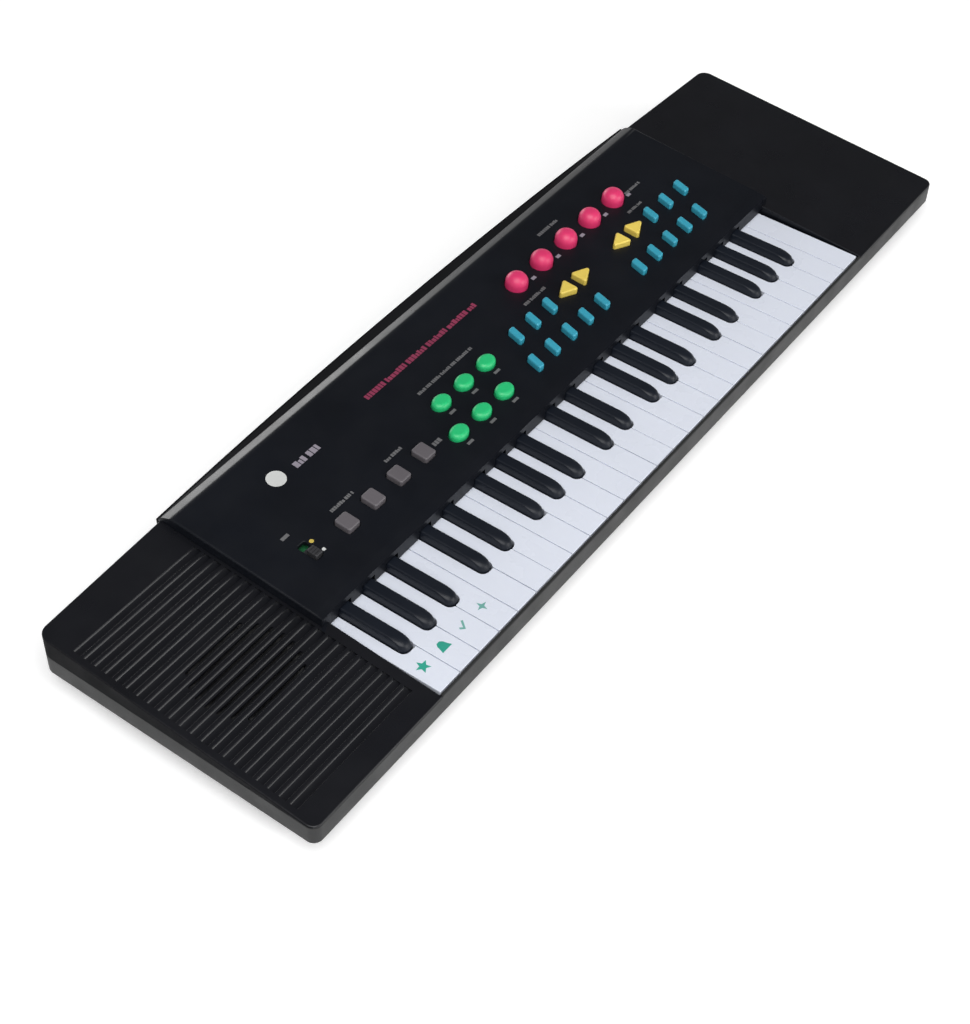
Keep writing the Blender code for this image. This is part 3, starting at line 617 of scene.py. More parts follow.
def button_groups():
    """Name, web outline, cap height, edge rounding, finish, slot and cap shapes of each set of buttons."""
    red = [round_cap(pitch_x(15.81 + 1.565 * i), panel_v(8.51), RED_RADIUS, RED_RADIUS) for i in range(5)]
    green = [round_cap(pitch_x(9.27 + 1.27 * i), panel_v(6.95), *GREEN_RADII) for i in range(3)]
    green += [round_cap(pitch_x(8.55 + 1.285 * i), panel_v(5.67), *GREEN_RADII) for i in range(3)]
    blue_left = [square_cap(pitch_x(12.93 + 1.035 * i), panel_v(5.64), *BLUE_CAP) for i in range(5)]
    blue_left += [square_cap(pitch_x(13.58 + 1.02 * i), panel_v(6.92), *BLUE_CAP) for i in range(3)]
    blue_right = [square_cap(pitch_x(19.53 + 1.04 * i), panel_v(5.64), *BLUE_CAP) for i in range(5)]
    blue_right += [square_cap(pitch_x(22.27 + 1.065 * i), panel_v(6.92), *BLUE_CAP) for i in range(3)]
    yellow_left = [arrow_cap(pitch_x(16.64), panel_v(6.94), *ARROW_CAP, -1),
                   arrow_cap(pitch_x(17.76), panel_v(6.94), *ARROW_CAP, 1)]
    yellow_right = [arrow_cap(pitch_x(20.13), panel_v(6.94), *ARROW_CAP, -1),
                    arrow_cap(pitch_x(21.25), panel_v(6.94), *ARROW_CAP, 1)]
    grey = [square_cap(pitch_x(3.1 + 1.32 * i), panel_v(6.02), *GREY_CAP) for i in range(4)]

    def web(left, low, right, high):
        return rectangle((pitch_x(left), panel_v(low)), (pitch_x(right), panel_v(high)))

    def l_web(left, low, right, step_left, step_right, step_low, high):
        outline = [(left, low), (right, low), (right, step_low), (step_right, step_low), (step_right, high),
                   (step_left, high), (step_left, step_low), (left, step_low)]
        return [(pitch_x(x), panel_v(v)) for x, v in outline]

    return (
        ("red_buttons", web(15.2, 7.93, 22.7, 9.1), 6.8, 4.9, RED, "button_red", red),
        ("green_buttons", web(8.0, 5.25, 12.36, 7.4), 3.0, 2.2, GREEN, "button_green", green),
        ("blue_buttons_left", l_web(12.6, 5.2, 17.4, 13.2, 15.98, 6.15, 7.36), 2.8, 1.0, BLUE, "button_blue",
         blue_left),
        ("blue_buttons_right", l_web(19.2, 5.2, 24.1, 21.9, 24.8, 6.15, 7.36), 2.8, 1.0, BLUE, "button_blue",
         blue_right),
        ("yellow_arrows_left", web(16.12, 6.4, 18.3, 7.48), 2.9, 0.9, YELLOW, "button_yellow", yellow_left),
        ("yellow_arrows_right", web(19.6, 6.4, 21.74, 7.48), 2.9, 0.9, YELLOW, "button_yellow", yellow_right),
        ("grey_buttons", web(2.65, 5.55, 7.5, 6.5), 2.4, 0.8, GREY, "button_grey", grey),
    )


def switch_place():
    return pitch_x(1.5), panel_v(6.2)


def add_buttons(groups):
    """The seven soft webs with their caps, and the slide switch."""
    for name, web, height, edge, finish, slot, caps in groups:
        buttons = add_object(f"{name}_soft", on_panel(prism(web, WEB_LOW, WEB_TOP)), finish)
        tops = [soft_top(outline_at, WEB_LOW + 0.4, height, edge, 6) for outline_at in caps]
        combine(buttons, "UNION", f"{name}_caps", on_panel(joined(*tops)))
        bake(buttons)
        finished(buttons, name, [name], 40)
    x, v = switch_place()
    plate = box((x - 4.2, v - 8, WEB_LOW - 0.4), (x + 4.2, v + 8 - SWITCH_TRAVEL, WEB_TOP))
    switch = add_object("power_switch_knob", on_panel(plate), SWITCH)
    stem_v = v - SWITCH_TRAVEL / 2
    combine(switch, "UNION", "switch_stem",
            on_panel(soft_top(square_cap(x, stem_v, *SWITCH_CAP), WEB_LOW + 0.4, 2.2, 0.5)))
    grips = []
    for middle in (stem_v - 1.5, stem_v, stem_v + 1.5):
        grips.append(box((x - 3, middle - 0.3, 1.85), (x + 3, middle + 0.3, 4)))
    combine(switch, "DIFFERENCE", "switch_grips", on_panel(joined(*grips)))
    bake(switch)
    finished(switch, "power_switch", ["power_switch"])


def hole_solids(groups):
    """Holes in the panel: one round each cap and the switch's longer slot, each with a small lead-in."""
    outlines = [outline_at for group in groups for outline_at in group[-1]]
    x, v = switch_place()
    half_x, half_y, radius = SWITCH_CAP
    outlines.append(square_cap(x, v, half_x, SWITCH_TRAVEL / 2 + half_y, radius))
    solids = []
    for outline_at in outlines:
        hole, mouth = outline_at(-HOLE_GAP), outline_at(-HOLE_GAP - 0.35)
        solids.append(stack((hole, -6), (hole, -0.3), (mouth, 0.05), (mouth, 4)))
    return solids


# ---- case

def groove_solid(y):
    """Cutter for one grille groove with a round floor and soft lips."""
    half_width, depth = GROOVE_WIDTH / 2, GROOVE_DEPTH
    profile = [(-half_width - 0.45, 1.5), (-half_width - 0.45, 0.06), (-half_width - 0.14, -0.08),
               (-half_width, -0.34)]
    for i in range(7):
        angle = math.pi + math.pi * i / 6
        profile.append((half_width * math.cos(angle) * 0.92,
                        -depth * 0.55 + depth * 0.45 * math.sin(angle)))
    profile += [(half_width, -0.34), (half_width + 0.14, -0.08), (half_width + 0.45, 0.06),
                (half_width + 0.45, 1.5)]
    points = [(y + dy, wing_z(y + dy) + dz) for dy, dz in profile]
    return extrude_x(points, GROOVE_LEFT_X, GROOVE_RIGHT_X)


def add_upper_case(groups):
    """Sloped top with the grille, the raised panel, the key bed and a lip that sits inside the lower case."""
    levels = [(case_outline(0.3), UPPER_LOW_Z), (case_outline(0.0), UPPER_LOW_Z + 0.15)]
    for i in range(6):
        angle = math.pi / 2 * i / 5
        inset = TOP_ROUNDING * (1 - math.cos(angle))
        drop = TOP_ROUNDING * (1 - math.sin(angle))
        levels.append((case_outline(inset), over_wing(-drop)))
    case = add_object("upper_case_shell", stack(*levels), CASE_BLACK)

    def arc_back(x):
        return panel_back_y(x) - 1.4

    levels = [panel_loop(0.0, PANEL_FRONT_Y, arc_back, (-3, -3)),
              panel_loop(0.0, PANEL_FRONT_Y, arc_back, (0.35, 0.3))]
    # Side inset, how far the front edge is set back, how far the back edge is moved, and the two rises.
    for inset, set_back, moved, rises in (
            (0.3, 0.0, 5.4, (3.6, 1.3)), (0.36, 0.02, 5.0, (3.8, 1.85)), (0.42, 0.05, 4.4, (3.95, 2.3)),
            (0.5, 0.12, 0.5, (4.05, 4.3)), (0.6, 0.3, -0.3, (4.15, 4.62)), (0.9, 1.2, -1.1, (4.3, 4.85)),
            (1.25, 4.0, -2.1, (4.8, 4.96)), (1.6, 6.2, -3.2, (PANEL_RISE, PANEL_RISE))):
        levels.append(panel_loop(inset, PANEL_FRONT_Y + set_back, straight_back(moved), rises))
    combine(case, "UNION", "panel_block", loft(*levels))
    hollow = prism(case_outline(WALL), LIP_LOW_Z - 3, over_wing(-WALL))
    combine(case, "DIFFERENCE", "case_hollow", hollow)
    inner = PANEL_RISE - PANEL_THICKNESS
    front = PANEL_FRONT_Y + WALL
    panel_hollow = loft(panel_loop(WALL + 0.2, front, straight_back(-2.5), (-8, -8)),
                        panel_loop(WALL + 0.4, front, straight_back(-2.5), (inner - 1.2, inner - 1.2)),
                        panel_loop(WALL + 1.6, front + 4, straight_back(-4), (inner, inner)))
    combine(case, "DIFFERENCE", "panel_hollow", panel_hollow)

    def lip_top(x, y):
        return min(LIP_TOP_Z, wing_z(y) - 0.4)

    inside, outside = case_outline(LIP_INSET + LIP_THICKNESS), case_outline(LIP_INSET)
    joint, joint_z = case_outline(1.2), UPPER_LOW_Z + 0.1
    lip = ring(at_height(outside, LIP_LOW_Z), at_height(outside, joint_z), at_height(joint, joint_z),
               at_height(joint, lip_top), at_height(inside, lip_top), at_height(inside, LIP_LOW_Z))
    combine(case, "UNION", "case_lip", lip)

    # The bed's opening has a small chamfer where the wings' tops end.
    straight = rectangle((-BED_HALF_LENGTH, CASE_FRONT_Y - 10), (BED_HALF_LENGTH, BED_BACK_Y))
    flared = rectangle((-BED_HALF_LENGTH - 0.4, CASE_FRONT_Y - 10), (BED_HALF_LENGTH + 0.4, BED_BACK_Y))
    bed = stack((straight, 5), (straight, over_wing(-0.35)), (flared, over_wing(0.05)), (flared, 60))
    combine(case, "DIFFERENCE", "key_bed", bed)

    additions = [box((-BED_HALF_LENGTH + 0.4, BED_BACK_Y + 0.2, BED_WALL_LOW_Z),
                     (BED_HALF_LENGTH - 0.4, BED_BACK_Y + 2.0, BED_WALL_LOW_Z + 3))]
    for side in (-1, 1):
        near, far = sorted((side * (BED_HALF_LENGTH + 0.2), side * (BED_HALF_LENGTH + 2.0)))
        cheek = rectangle((near, KEY_FRONT_Y + 0.2), (far, PANEL_FRONT_Y + 1.5))
        additions.append(prism(cheek, CHEEK_LOW_Z, over_wing(-0.9)))
    for x, y in SCREW_PLACES:
        lift = PANEL_RISE if abs(x) < PANEL_HALF_LENGTH else 0.0
        additions.append(cylinder((x, y), 3.4, 12.8, wing_z(y) + lift - 1.2, 20))
    combine(case, "UNION", "case_ribs", joined(*additions))

    slots = []
    for centre in black_centres():
        half = BLACK_WIDTH / 2 + 0.6
        slots.append(box((centre - half, BED_BACK_Y - 3, BED_WALL_LOW_Z - 4),
                         (centre + half, BED_BACK_Y + 4, BLACK_TOP_Z + 1.1)))
    combine(case, "DIFFERENCE", "black_key_slots", joined(*slots))

    middles = [FIRST_RIDGE_Y + (i - 0.5) * RIDGE_PITCH for i in range(RIDGE_COUNT + 1)]
    grooves = [groove_solid(y) for y in middles]
    combine(case, "DIFFERENCE", "grille_grooves", joined(*grooves))
    sound_slots = []
    for y in middles:
        away = abs(y - SPEAKER_Y)
        if away < GRILLE_RADIUS - 3:
            half = math.sqrt(GRILLE_RADIUS ** 2 - away ** 2)
            outline = rounded_rectangle((SPEAKER_X - half, y - 0.8), (SPEAKER_X + half, y + 0.8), 0.78, 4)
            sound_slots.append(prism(outline, over_wing(-WALL - 1), over_wing(1)))
    combine(case, "DIFFERENCE", "grille_slots", joined(*sound_slots))
    combine(case, "DIFFERENCE", "panel_holes", on_panel(joined(*hole_solids(groups))))
    bake(case)
    case.data.materials.append(WALL_BLACK)
    case.data.materials.append(EDGE_BLACK)
    for face in case.data.polygons:
        x, y, _ = face.center / MM
        outer = abs(face.normal.z) < 0.5 and (abs(x) > CASE_HALF_LENGTH - 1 or y > WING_BACK_Y_OUTER - 1)
        behind = y - PANEL_TOP_BACK_Y if abs(x) < PANEL_HALF_LENGTH else 0.0
        if outer or behind > EDGE_BAND_END:
            face.material_index = WALL_SLOT
        elif behind > EDGE_BAND_START:
            face.material_index = EDGE_SLOT
    finished(case, "case", ["upper_case"], 28)


def add_lower_case():
    """Tray with the level side band, the front rail, the feet, the screw wells and the battery bay."""
    base, shoulder = LOWER_BASE_INSET, LOWER_SHOULDER_INSET
    section = [(base + 1.2, LOWER_BASE_Z + LOWER_WALL), (shoulder + LOWER_WALL + 0.2, LOWER_SHOULDER_Z),
               (LOWER_WALL, BAND_LOW_Z + 1.3), (LOWER_WALL, BAND_TOP_Z), (0.3, BAND_TOP_Z),
               (0.1, BAND_TOP_Z - 0.08), (0, BAND_TOP_Z - 0.3), (0, BAND_LOW_Z + 0.7),
               (0.12, BAND_LOW_Z + 0.35), (0.5, BAND_LOW_Z), (shoulder, LOWER_SHOULDER_Z),
               (base - 1.0, LOWER_BASE_Z + 0.9), (base - 0.2, LOWER_BASE_Z + 0.35),
               (base + 0.6, LOWER_BASE_Z)]
    tray = stack(*[(case_outline(inset), height) for inset, height in section])
    case = add_object("lower_case_tray", tray, BASE_BLACK)
    additions = [soft_foot(place) for place in FOOT_PLACES]
    additions += [cylinder(place, 4.6, LOWER_BASE_Z + 1, 12.4) for place in SCREW_PLACES]
    for x in (-150, -50, 50, 150):
        additions.append(cylinder((x, -51), 3.0, LOWER_BASE_Z + 1, 7.7, 20))
    additions.append(box((BAY_LOW[0] - BAY_WALL, BAY_LOW[1] - BAY_WALL, LOWER_BASE_Z + 1),
                         (BAY_HIGH[0] + BAY_WALL, BAY_HIGH[1] + BAY_WALL, BAY_TOP_Z + 1.5)))
    rail_end = BED_HALF_LENGTH - CLEARANCE
    low, high = BAND_TOP_Z - 1.5, RAIL_TOP_Z
    front, back = CASE_FRONT_Y, RAIL_BACK_Y - 0.2
    profile = [(front, low), (back, low), (back, high - 0.25), (back - 0.08, high - 0.07),
               (back - 0.25, high), (front + 0.5, high), (front + 0.15, high - 0.15), (front, high - 0.5)]
    additions.append(extrude_x(profile, -rail_end, rail_end))
    combine(case, "UNION", "base_additions", joined(*additions))
    cuts = [box((*BAY_LOW, -2), (*BAY_HIGH, BAY_TOP_Z))]
    for place in SCREW_PLACES:
        mouth, well = ngon(place, 3.9, 3.9, 32), ngon(place, 3.2, 3.2, 32)
        cuts.append(stack((mouth, -2), (mouth, 1.4), (well, 2.1), (well, 9.0)))
    cuts.append(box((-BED_HALF_LENGTH, RAIL_BACK_Y, KEY_SIDE_LOW_Z), (BED_HALF_LENGTH, KEY_SIDE_BACK_Y, 30)))
    combine(case, "DIFFERENCE", "base_cuts", joined(*cuts))
    bake(case)
    finished(case, "case", ["lower_case"], 28)


def soft_foot(place):
    """Foot boss with a rounded lower edge."""
    rings = [(FOOT_RADIUS - 0.5, 0.45), (FOOT_RADIUS - 0.15, 0.6), (FOOT_RADIUS, 0.95),
             (FOOT_RADIUS, LOWER_BASE_Z + 1)]
    return stack(*[(ngon(place, radius, radius, 40), height) for radius, height in rings])


def add_feet_and_screws():
    pads, heads = [], []
    for place in FOOT_PLACES:
        pads.append(lathe([(0, 0.12), (4.6, 0.0), (5.5, 0.0), (5.9, 0.18), (6.0, 0.6), (0, 0.6)], 40, place))
    feet = add_object("foot_pads", joined(*pads), FOOT_RUBBER)
    finished(feet, "case", [])
    for place in SCREW_PLACES:
        head = [(0, 6.9), (1.6, 6.95), (2.35, 7.25), (2.75, 7.8), (2.8, 8.3), (2.8, 9.2), (0, 9.2)]
        heads.append(lathe(head, 32, place))
    screws = add_object("case_screws", joined(*heads), STEEL)
    recesses = []
    for x, y in SCREW_PLACES:
        turn = random.uniform(0, math.pi / 2)
        for quarter in (0, math.pi / 2):
            ends = [(1.55, 0.28), (-1.55, 0.28), (-1.55, -0.28), (1.55, -0.28)]
            cosine, sine = math.cos(turn + quarter), math.sin(turn + quarter)
            outline = [(x + a * cosine - b * sine, y + a * sine + b * cosine) for a, b in ends]
            recesses.append(prism(outline, 6.0, 8.0))
    combine(screws, "DIFFERENCE", "screw_recess_a", joined(*recesses[0::2]))
    combine(screws, "DIFFERENCE", "screw_recess_b", joined(*recesses[1::2]))
    bake(screws)
    finished(screws, "case", [])


def add_battery_door():
    hinge_y = BAY_LOW[1] + CLEARANCE
    low = (BAY_LOW[0] + CLEARANCE, hinge_y)
    high = (BAY_HIGH[0] - CLEARANCE, BAY_HIGH[1] - CLEARANCE)
    top = LOWER_BASE_Z + LOWER_WALL

    def outline(inset):
        return rounded_rectangle((low[0] + inset, low[1] + inset), (high[0] - inset, high[1] - inset),
                                 max(1.2 - inset, 0.3), 4)

    plate = stack((outline(0.45), LOWER_BASE_Z), (outline(0.13), LOWER_BASE_Z + 0.13),
                  (outline(0), LOWER_BASE_Z + 0.45), (outline(0), top))
    door = add_object("battery_door_plate", plate, DOOR_BLACK)
    middle = (low[0] + high[0]) / 2
    grips = []
    for i in range(4):
        y = high[1] - 6 - 3 * i
        profile = [(y - 1.0, LOWER_BASE_Z - 1), (y - 1.0, LOWER_BASE_Z), (y - 0.6, LOWER_BASE_Z + 0.5),
                   (y, LOWER_BASE_Z + 0.72), (y + 0.6, LOWER_BASE_Z + 0.5), (y + 1.0, LOWER_BASE_Z),
                   (y + 1.0, LOWER_BASE_Z - 1)]
        grips.append(extrude_x(profile, middle - 12, middle + 12))
    combine(door, "DIFFERENCE", "door_grips", joined(*grips))
    mark = [(middle - 5, 0.5), (middle + 5, 0.5), (middle, -6.0)]
    combine(door, "DIFFERENCE", "door_mark", prism(mark, LOWER_BASE_Z - 1, LOWER_BASE_Z + 0.4))
    bake(door)
    finished(door, "battery_door", ["battery_door"])


def add_speaker():
    """Paper cone with a ribbed surround and dust cap in a pressed basket, with the magnet behind."""
    place = (SPEAKER_X, SPEAKER_Y, wing_z(SPEAKER_Y))
    radius = SPEAKER_RADIUS
    profile = [(0, -8.2)]
    for i in range(1, 7):
        angle = math.pi / 2 * i / 6
        profile.append((7.0 * math.sin(angle), -11.0 + 2.8 * math.cos(angle)))
    for i in range(9):
        along = i / 8
        ripple = 0.22 * math.sin(along * math.pi * 8)
        profile.append((7.2 + (radius - 7.5 - 7.2) * along, -11.2 + 6.2 * along ** 1.25 + ripple))
    for i in range(1, 7):
        angle = math.pi * i / 6
        profile.append((radius - 7.5 + 1.9 * (1 - math.cos(angle)), -5.0 + 1.3 * math.sin(angle)))
    profile += [(radius - 3.4, -2.9), (radius - 3.2, -2.6), (radius - 0.2, -2.6), (radius, -2.8),
                (radius, -4.4), (radius - 3, -5.4), (15, -12.4), (15, -12.9), (15.4, -13.2), (15.4, -19.1),
                (15, -19.5), (0, -19.5)]
    speaker = add_object("speaker_cone", leaning(lathe(profile, 64), *place), PAPER)
    finished(speaker, "case", ["speaker"], 50)


# ---- keys

def tongue(centre_x, width, front_y):
    """Thin lever behind a key, ending in the round bulb it turns on."""
    half = width / 2
    profile = [(front_y, PIVOT_Z - TONGUE_HALF_THICKNESS)]
    for i in range(17):
        angle = math.radians(-140 + 17.5 * i)
        profile.append((PIVOT_Y + BULB_RADIUS * math.cos(angle), PIVOT_Z + BULB_RADIUS * math.sin(angle)))
    profile.append((front_y, PIVOT_Z + TONGUE_HALF_THICKNESS))
    return extrude_x(profile, centre_x - half, centre_x + half)


def notch_corner(edge, inner, notch_y, steps=6):
    """Points round the inside corner beside a black key, from the key's edge inwards and back."""
    way = 1 if edge > inner else -1
    centre = inner + way * NOTCH_RADIUS
    reach = min((edge - inner) * way, NOTCH_RADIUS)
    start = math.acos((NOTCH_RADIUS - reach) / NOTCH_RADIUS)
    points = [(edge, notch_y)] if (edge - inner) * way > NOTCH_RADIUS + 0.05 else []
    for i in range(steps + 1):
        angle = start * (1 - i / steps)
        points.append((centre - way * NOTCH_RADIUS * math.cos(angle),
                       notch_y + NOTCH_RADIUS * (1 - math.sin(angle))))
    return points


def add_white_key(number, span):
    left, inner_left, inner_right, right = span
    notch_y = BLACK_FRONT_Y - BLACK_GAP
    outline = [(left, KEY_FRONT_Y), (right, KEY_FRONT_Y)]
    if inner_right < right:
        outline += notch_corner(right, inner_right, notch_y)
    outline += [(inner_right, WHITE_BACK_Y), (inner_left, WHITE_BACK_Y)]
    if inner_left > left:
        outline += reversed(notch_corner(left, inner_left, notch_y))
    name = f"white_key_{number:02d}"
    key = add_object(f"{name}_cap", prism(outline, WHITE_LOW_Z, KEY_TOP_Z), KEY_WHITE)
    top = (KEY_TOP_Z - 0.01) * MM
    back = (WHITE_BACK_Y - 0.01) * MM

    def upright(edge):
        a, b = (vert.co for vert in edge.verts)
        sharp = edge.calc_face_angle(0.0) > math.radians(50)
        return abs(a.x - b.x) < 1e-7 and abs(a.y - b.y) < 1e-7 and a.y < back and sharp

    def upper(edge):
        a, b = (vert.co for vert in edge.verts)
        return a.z > top and b.z > top and min(a.y, b.y) < back

    bevel_edges(key, upright, 0.5)
    bevel_edges(key, upper, 0.3)
    lever = tongue((inner_left + inner_right) / 2, WHITE_TONGUE_WIDTH, WHITE_BACK_Y - 3)
    combine(key, "UNION", f"{name}_lever", lever)
    pocket = box((left + KEY_POCKET_WALL, KEY_FRONT_Y + KEY_POCKET_WALL, WHITE_LOW_Z - 1),
                 (right - KEY_POCKET_WALL, KEY_POCKET_BACK_Y, KEY_TOP_Z - KEY_POCKET_WALL))
    combine(key, "DIFFERENCE", f"{name}_pocket", pocket)
    bake(key)
    finished(key, name, [name])


def black_section(centre, width, front_y, steps=12):
    """Plan of a black key at one height, with a half-round front."""
    half = width / 2
    points = [(centre - half, BLACK_BACK_Y)]
    for i in range(steps + 1):
        angle = math.pi + math.pi * i / steps
        points.append((centre + half * math.cos(angle), front_y + BLACK_FRONT_DEPTH * (1 + math.sin(angle))))
    points.append((centre + half, BLACK_BACK_Y))
    return points


def add_black_key(number, centre):
    name = f"black_key_{number:02d}"
    levels = [(BLACK_WIDTH, BLACK_FRONT_Y, BLACK_LOW_Z), (BLACK_WIDTH, BLACK_FRONT_Y, KEY_TOP_Z - 0.4),
              (BLACK_WIDTH - 0.1, BLACK_FRONT_Y + 0.15, KEY_TOP_Z + 0.6),
              (BLACK_TOP_WIDTH + 0.6, BLACK_FRONT_Y + 1.1, KEY_TOP_Z + 2.3),
              (BLACK_TOP_WIDTH + 0.2, BLACK_FRONT_Y + 2.6, KEY_TOP_Z + 3.2),
              (BLACK_TOP_WIDTH - 0.1, BLACK_FRONT_Y + 4.1, BLACK_TOP_Z - 0.62),
              (BLACK_TOP_WIDTH - 0.6, BLACK_FRONT_Y + 5.6, BLACK_TOP_Z - 0.28),
              (BLACK_TOP_WIDTH - 1.3, BLACK_FRONT_Y + 7.0, BLACK_TOP_Z - 0.08),
              (BLACK_TOP_WIDTH - 2.1, BLACK_FRONT_Y + 8.4, BLACK_TOP_Z)]
    body = stack(*[(black_section(centre, width, front), height) for width, front, height in levels])
    key = add_object(f"{name}_cap", body, KEY_BLACK)
    combine(key, "UNION", f"{name}_lever", tongue(centre, BLACK_TONGUE_WIDTH, BLACK_BACK_Y - 3))
    bake(key)
    finished(key, name, [name], 40)


# ---- printed marks

INK_LOW, INK_TOP = -0.15, 0.05


def dashes(x, v, length, height):
    """Row of small strokes of uneven width and height, in place of lettering, from x rightwards."""
    outlines = []
    reach, letters = x, random.randint(3, 7)
    while reach < x + length - 0.3 * height:
        width = random.uniform(0.42, 0.78) * height
        drop = random.choice((0.0, 0.0, 0.0, 0.22)) * height
        end = min(reach + width, x + length)
        outlines.append(rectangle((reach, v - height / 2), (end, v + height / 2 - drop)))
        letters -= 1
        reach = end + height * (0.14 if letters else 0.5)
        letters = letters or random.randint(3, 7)
    return [prism(outline, INK_LOW, INK_TOP) for outline in outlines]


def stroke(x, v, width, height):
    outline = rectangle((x - width / 2, v - height / 2), (x + width / 2, v + height / 2))
    return prism(outline, INK_LOW, INK_TOP)


def row(x, y, width, height):
    """Dashes centred on a point given in white key widths."""
    return dashes(pitch_x(x) - width * PITCH / 2, panel_v(y), width * PITCH, height)


def star_outline(x, y, radius, points=5, inner=0.45):
    """Star with one tip towards the back. The inner radius is a share of the outer one."""
    outline = []
    for i in range(points * 2):
        reach = radius if i % 2 == 0 else radius * inner
        angle = math.pi / 2 + math.pi * i / points
        outline.append((x + reach * math.cos(angle), y + reach * math.sin(angle)))
    return outline


def add_prints():
    """Plain bars, dots and strokes in place of the lettering."""
    pale = [prism(ngon((pitch_x(3.1), panel_v(8.95)), 4.8, 4.8, 40), INK_LOW, INK_TOP)]
    lilac = dashes(pitch_x(3.9), panel_v(8.85), 16.5, 3.6)
    red = dashes(pitch_x(7.8), panel_v(9.02), 6.2 * PITCH, 3.0)
    grey = row(10.6, 7.8, 3.0, 1.7) + row(19.1, 9.45, 1.2, 1.9) + row(23.2, 8.35, 1.0, 1.6)
    grey += row(15.75, 7.65, 1.3, 1.8) + row(22.3, 7.65, 0.9, 1.6)
    grey += row(3.7, 6.73, 1.1, 1.8) + row(6.4, 6.75, 0.9, 1.8) + row(7.8, 6.0, 0.45, 2.4)
    grey.append(stroke(pitch_x(1.4), panel_v(7.15), 4.6, 1.8))
    for i in range(5):
        lilac.append(stroke(pitch_x(16.5 + 1.565 * i), panel_v(8.24), 3.0, 1.9))
    for i in range(3):
        grey.append(stroke(pitch_x(9.22 + 1.27 * i), panel_v(6.44), 4.2, 1.5))
        grey.append(stroke(pitch_x(8.5 + 1.285 * i), panel_v(5.16), 4.2, 1.5))
    yellow = [prism(ngon((pitch_x(1.82), panel_v(6.42)), 1.1, 1.1, 20), INK_LOW, INK_TOP)]
    pale.append(prism(ngon((pitch_x(1.82), panel_v(5.92)), 0.9, 0.9, 20), INK_LOW, INK_TOP))
    for ink, solids, finish in (("pale", pale, INK_PALE), ("lilac", lilac, INK_LILAC), ("red", red, INK_RED),
                                ("grey", grey, INK_GREY), ("yellow", yellow, INK_YELLOW)):
        finished(add_object(f"panel_print_{ink}", on_panel(joined(*solids)), finish), "case", [])


def add_key_marks():
    """Small generic picture marks on the first four white keys."""
    y = KEY_FRONT_Y + 1.0 * PITCH
    low, high = KEY_TOP_Z - 0.2, KEY_TOP_Z + 0.05

    def flat(outline):
        return prism(outline, low, high)

    x = [pitch_x(i + 0.48) for i in range(4)]
    bell = [(x[1] - 3.2, y - 2.4), (x[1] + 3.2, y - 2.4), (x[1] + 2.5, y - 0.6), (x[1] + 1.9, y + 1.7),
            (x[1] + 0.9, y + 2.8), (x[1] - 0.9, y + 2.8), (x[1] - 1.9, y + 1.7), (x[1] - 2.5, y - 0.6)]
    tick = [(x[2] - 2.4, y - 0.2), (x[2] - 0.6, y - 2.2), (x[2] + 2.6, y + 1.8), (x[2] + 1.7, y + 2.4),
            (x[2] - 0.6, y - 0.7), (x[2] - 1.7, y + 0.6)]
    marks = ((star_outline(x[0], y, 3.6), INK_GREEN), (bell, INK_GREEN), (tick, INK_MINT),
             (star_outline(x[3], y, 3.0, 4, 0.35), INK_MINT))
    for number, (outline, ink) in enumerate(marks, 1):
        finished(add_object(f"key_mark_{number}", flat(outline), ink), f"white_key_{number:02d}", [])


# ---- inner parts kept from the frame

def finish_inner_parts():
    for node, finish in (("key_rail", RAIL_GREY), ("panel_circuit_board", BOARD_GREEN),
                         ("key_contact_board", BOARD_GREEN), ("key_contact_rubber", CONTACT)):
        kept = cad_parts[node]
        for i in range(len(kept.material_slots)):
            kept.material_slots[i].link = "OBJECT"
            kept.material_slots[i].material = finish
        if not kept.material_slots:
            kept.data.materials.append(finish)


# ---- setting

def camera_turn(azimuth, elevation, roll):
    a, e, r = (math.radians(value) for value in (azimuth, elevation, roll))
    back = Vector((math.sin(a) * math.cos(e), -math.cos(a) * math.cos(e), math.sin(e)))
    level = Vector((math.cos(a), math.sin(a), 0))
    right = level * math.cos(r) + back.cross(level) * math.sin(r)
    return Matrix((right, back.cross(right), back)).transposed().to_4x4()


def add_camera():
    camera = bpy.data.objects.new("camera", bpy.data.cameras.new("camera"))
    bpy.context.scene.collection.objects.link(camera)
    turn = camera_turn(CAMERA_AZIMUTH, CAMERA_ELEVATION, CAMERA_ROLL)
    camera.matrix_world = Matrix.Translation(CAMERA_PLACE) @ turn
    camera.data.sensor_width = SENSOR_WIDTH
    camera.data.lens = CAMERA_LENS
    camera.data.clip_start = 0.01
    camera.data.clip_end = 100.0
    bpy.context.scene.camera = camera


def add_softbox(name, place, target, size, power):
    light = bpy.data.lights.new(name, "AREA")
    light.shape = "RECTANGLE"
    light.size, light.size_y = size
    light.energy = power
    made = bpy.data.objects.new(name, light)
    bpy.context.scene.collection.objects.link(made)
    made.location = place
    made.visible_camera = False
    made.rotation_euler = (Vector(target) - Vector(place)).to_track_quat("-Z", "Y").to_euler()


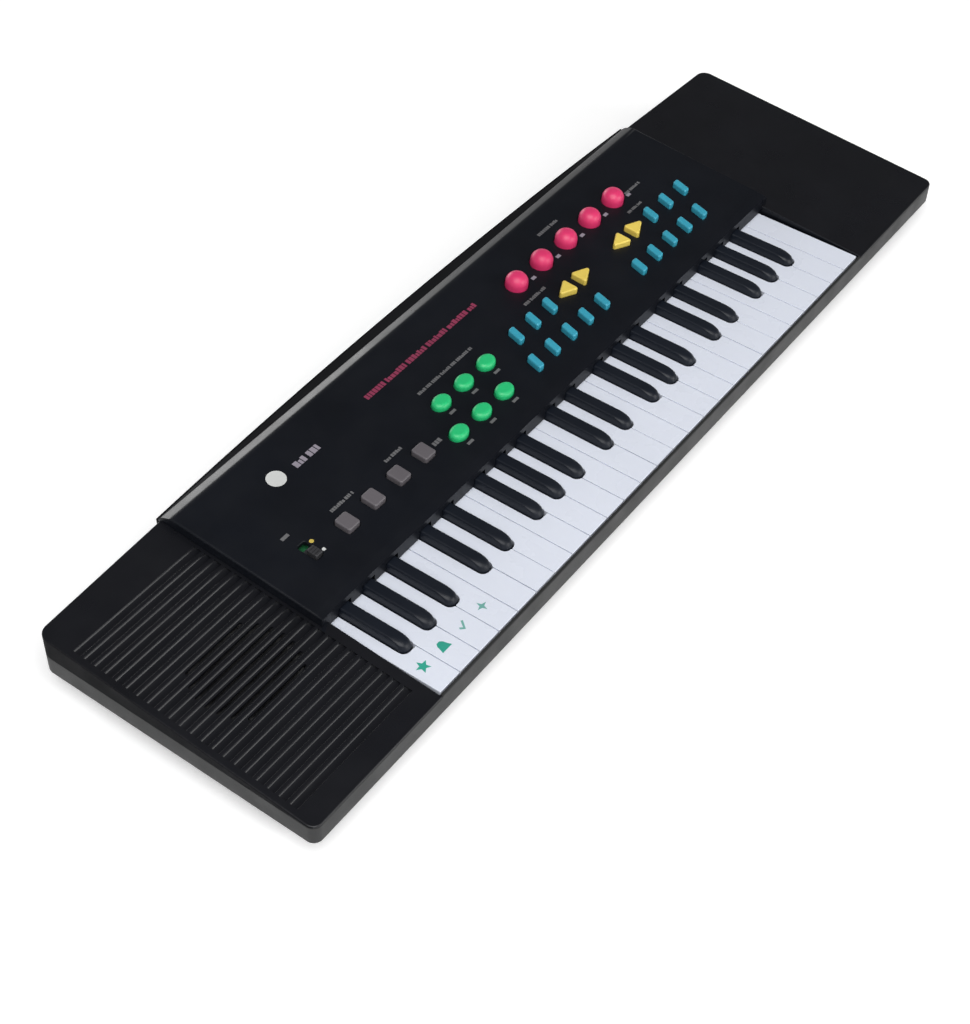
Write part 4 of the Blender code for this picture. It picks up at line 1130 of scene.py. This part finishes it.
def add_floor():
    mesh = bpy.data.meshes.new("floor")
    half = FLOOR_HALF
    corners = [(x, y, 0) for x, y in rectangle((-half, -half), (half, half))]
    mesh.from_pydata(corners, [], [(0, 1, 2, 3)])
    floor = bpy.data.objects.new("floor", mesh)
    bpy.context.scene.collection.objects.link(floor)
    floor.location.z = -FLOOR_DROP
    paint = bpy.data.materials.new("floor_white")
    paint.use_nodes = True
    shader = paint.node_tree.nodes["Principled BSDF"]
    shader.inputs["Base Color"].default_value = (0.9, 0.9, 0.9, 1.0)
    shader.inputs["Roughness"].default_value = 0.9
    shader.inputs["Specular IOR Level"].default_value = 0.0
    shader.inputs["Emission Color"].default_value = (1.0, 1.0, 1.0, 1.0)
    shader.inputs["Emission Strength"].default_value = FLOOR_GLOW
    mesh.materials.append(paint)


def add_world():
    """Bright near the horizon and dim overhead, so that the dark top stays dark."""
    world = bpy.data.worlds.new("studio")
    bpy.context.scene.world = world
    world.use_nodes = True
    tree = world.node_tree
    sky = tree.nodes["Background"]
    place = tree.nodes.new("ShaderNodeTexCoord")
    split = tree.nodes.new("ShaderNodeSeparateXYZ")
    wire(tree, place, "Generated", split, "Vector")
    ramp = tree.nodes.new("ShaderNodeValToRGB")
    ramp.color_ramp.elements[0].position = 0.0
    ramp.color_ramp.elements[0].color = (1, 1, 1, 1)
    ramp.color_ramp.elements[1].position = SKY_TOP_AT
    ramp.color_ramp.elements[1].color = (*[SKY_TOP] * 3, 1)
    wire(tree, split, "Z", ramp, "Fac")
    wire(tree, ramp, "Color", sky, "Color")
    sky.inputs["Strength"].default_value = SKY_STRENGTH


random.seed(7)
add_camera()
add_floor()
add_world()
for softbox in SOFTBOXES:
    add_softbox(*softbox)
bpy.context.scene.view_settings.view_transform = "Standard"
bpy.context.scene.view_settings.look = "None"

all_groups = button_groups()
add_upper_case(all_groups)
add_lower_case()
add_feet_and_screws()
add_battery_door()
add_speaker()
add_buttons(all_groups)
for key_number, key_span in enumerate(white_spans(), 1):
    add_white_key(key_number, key_span)
for key_number, key_centre in enumerate(black_centres(), 1):
    add_black_key(key_number, key_centre)
add_prints()
add_key_marks()
finish_inner_parts()
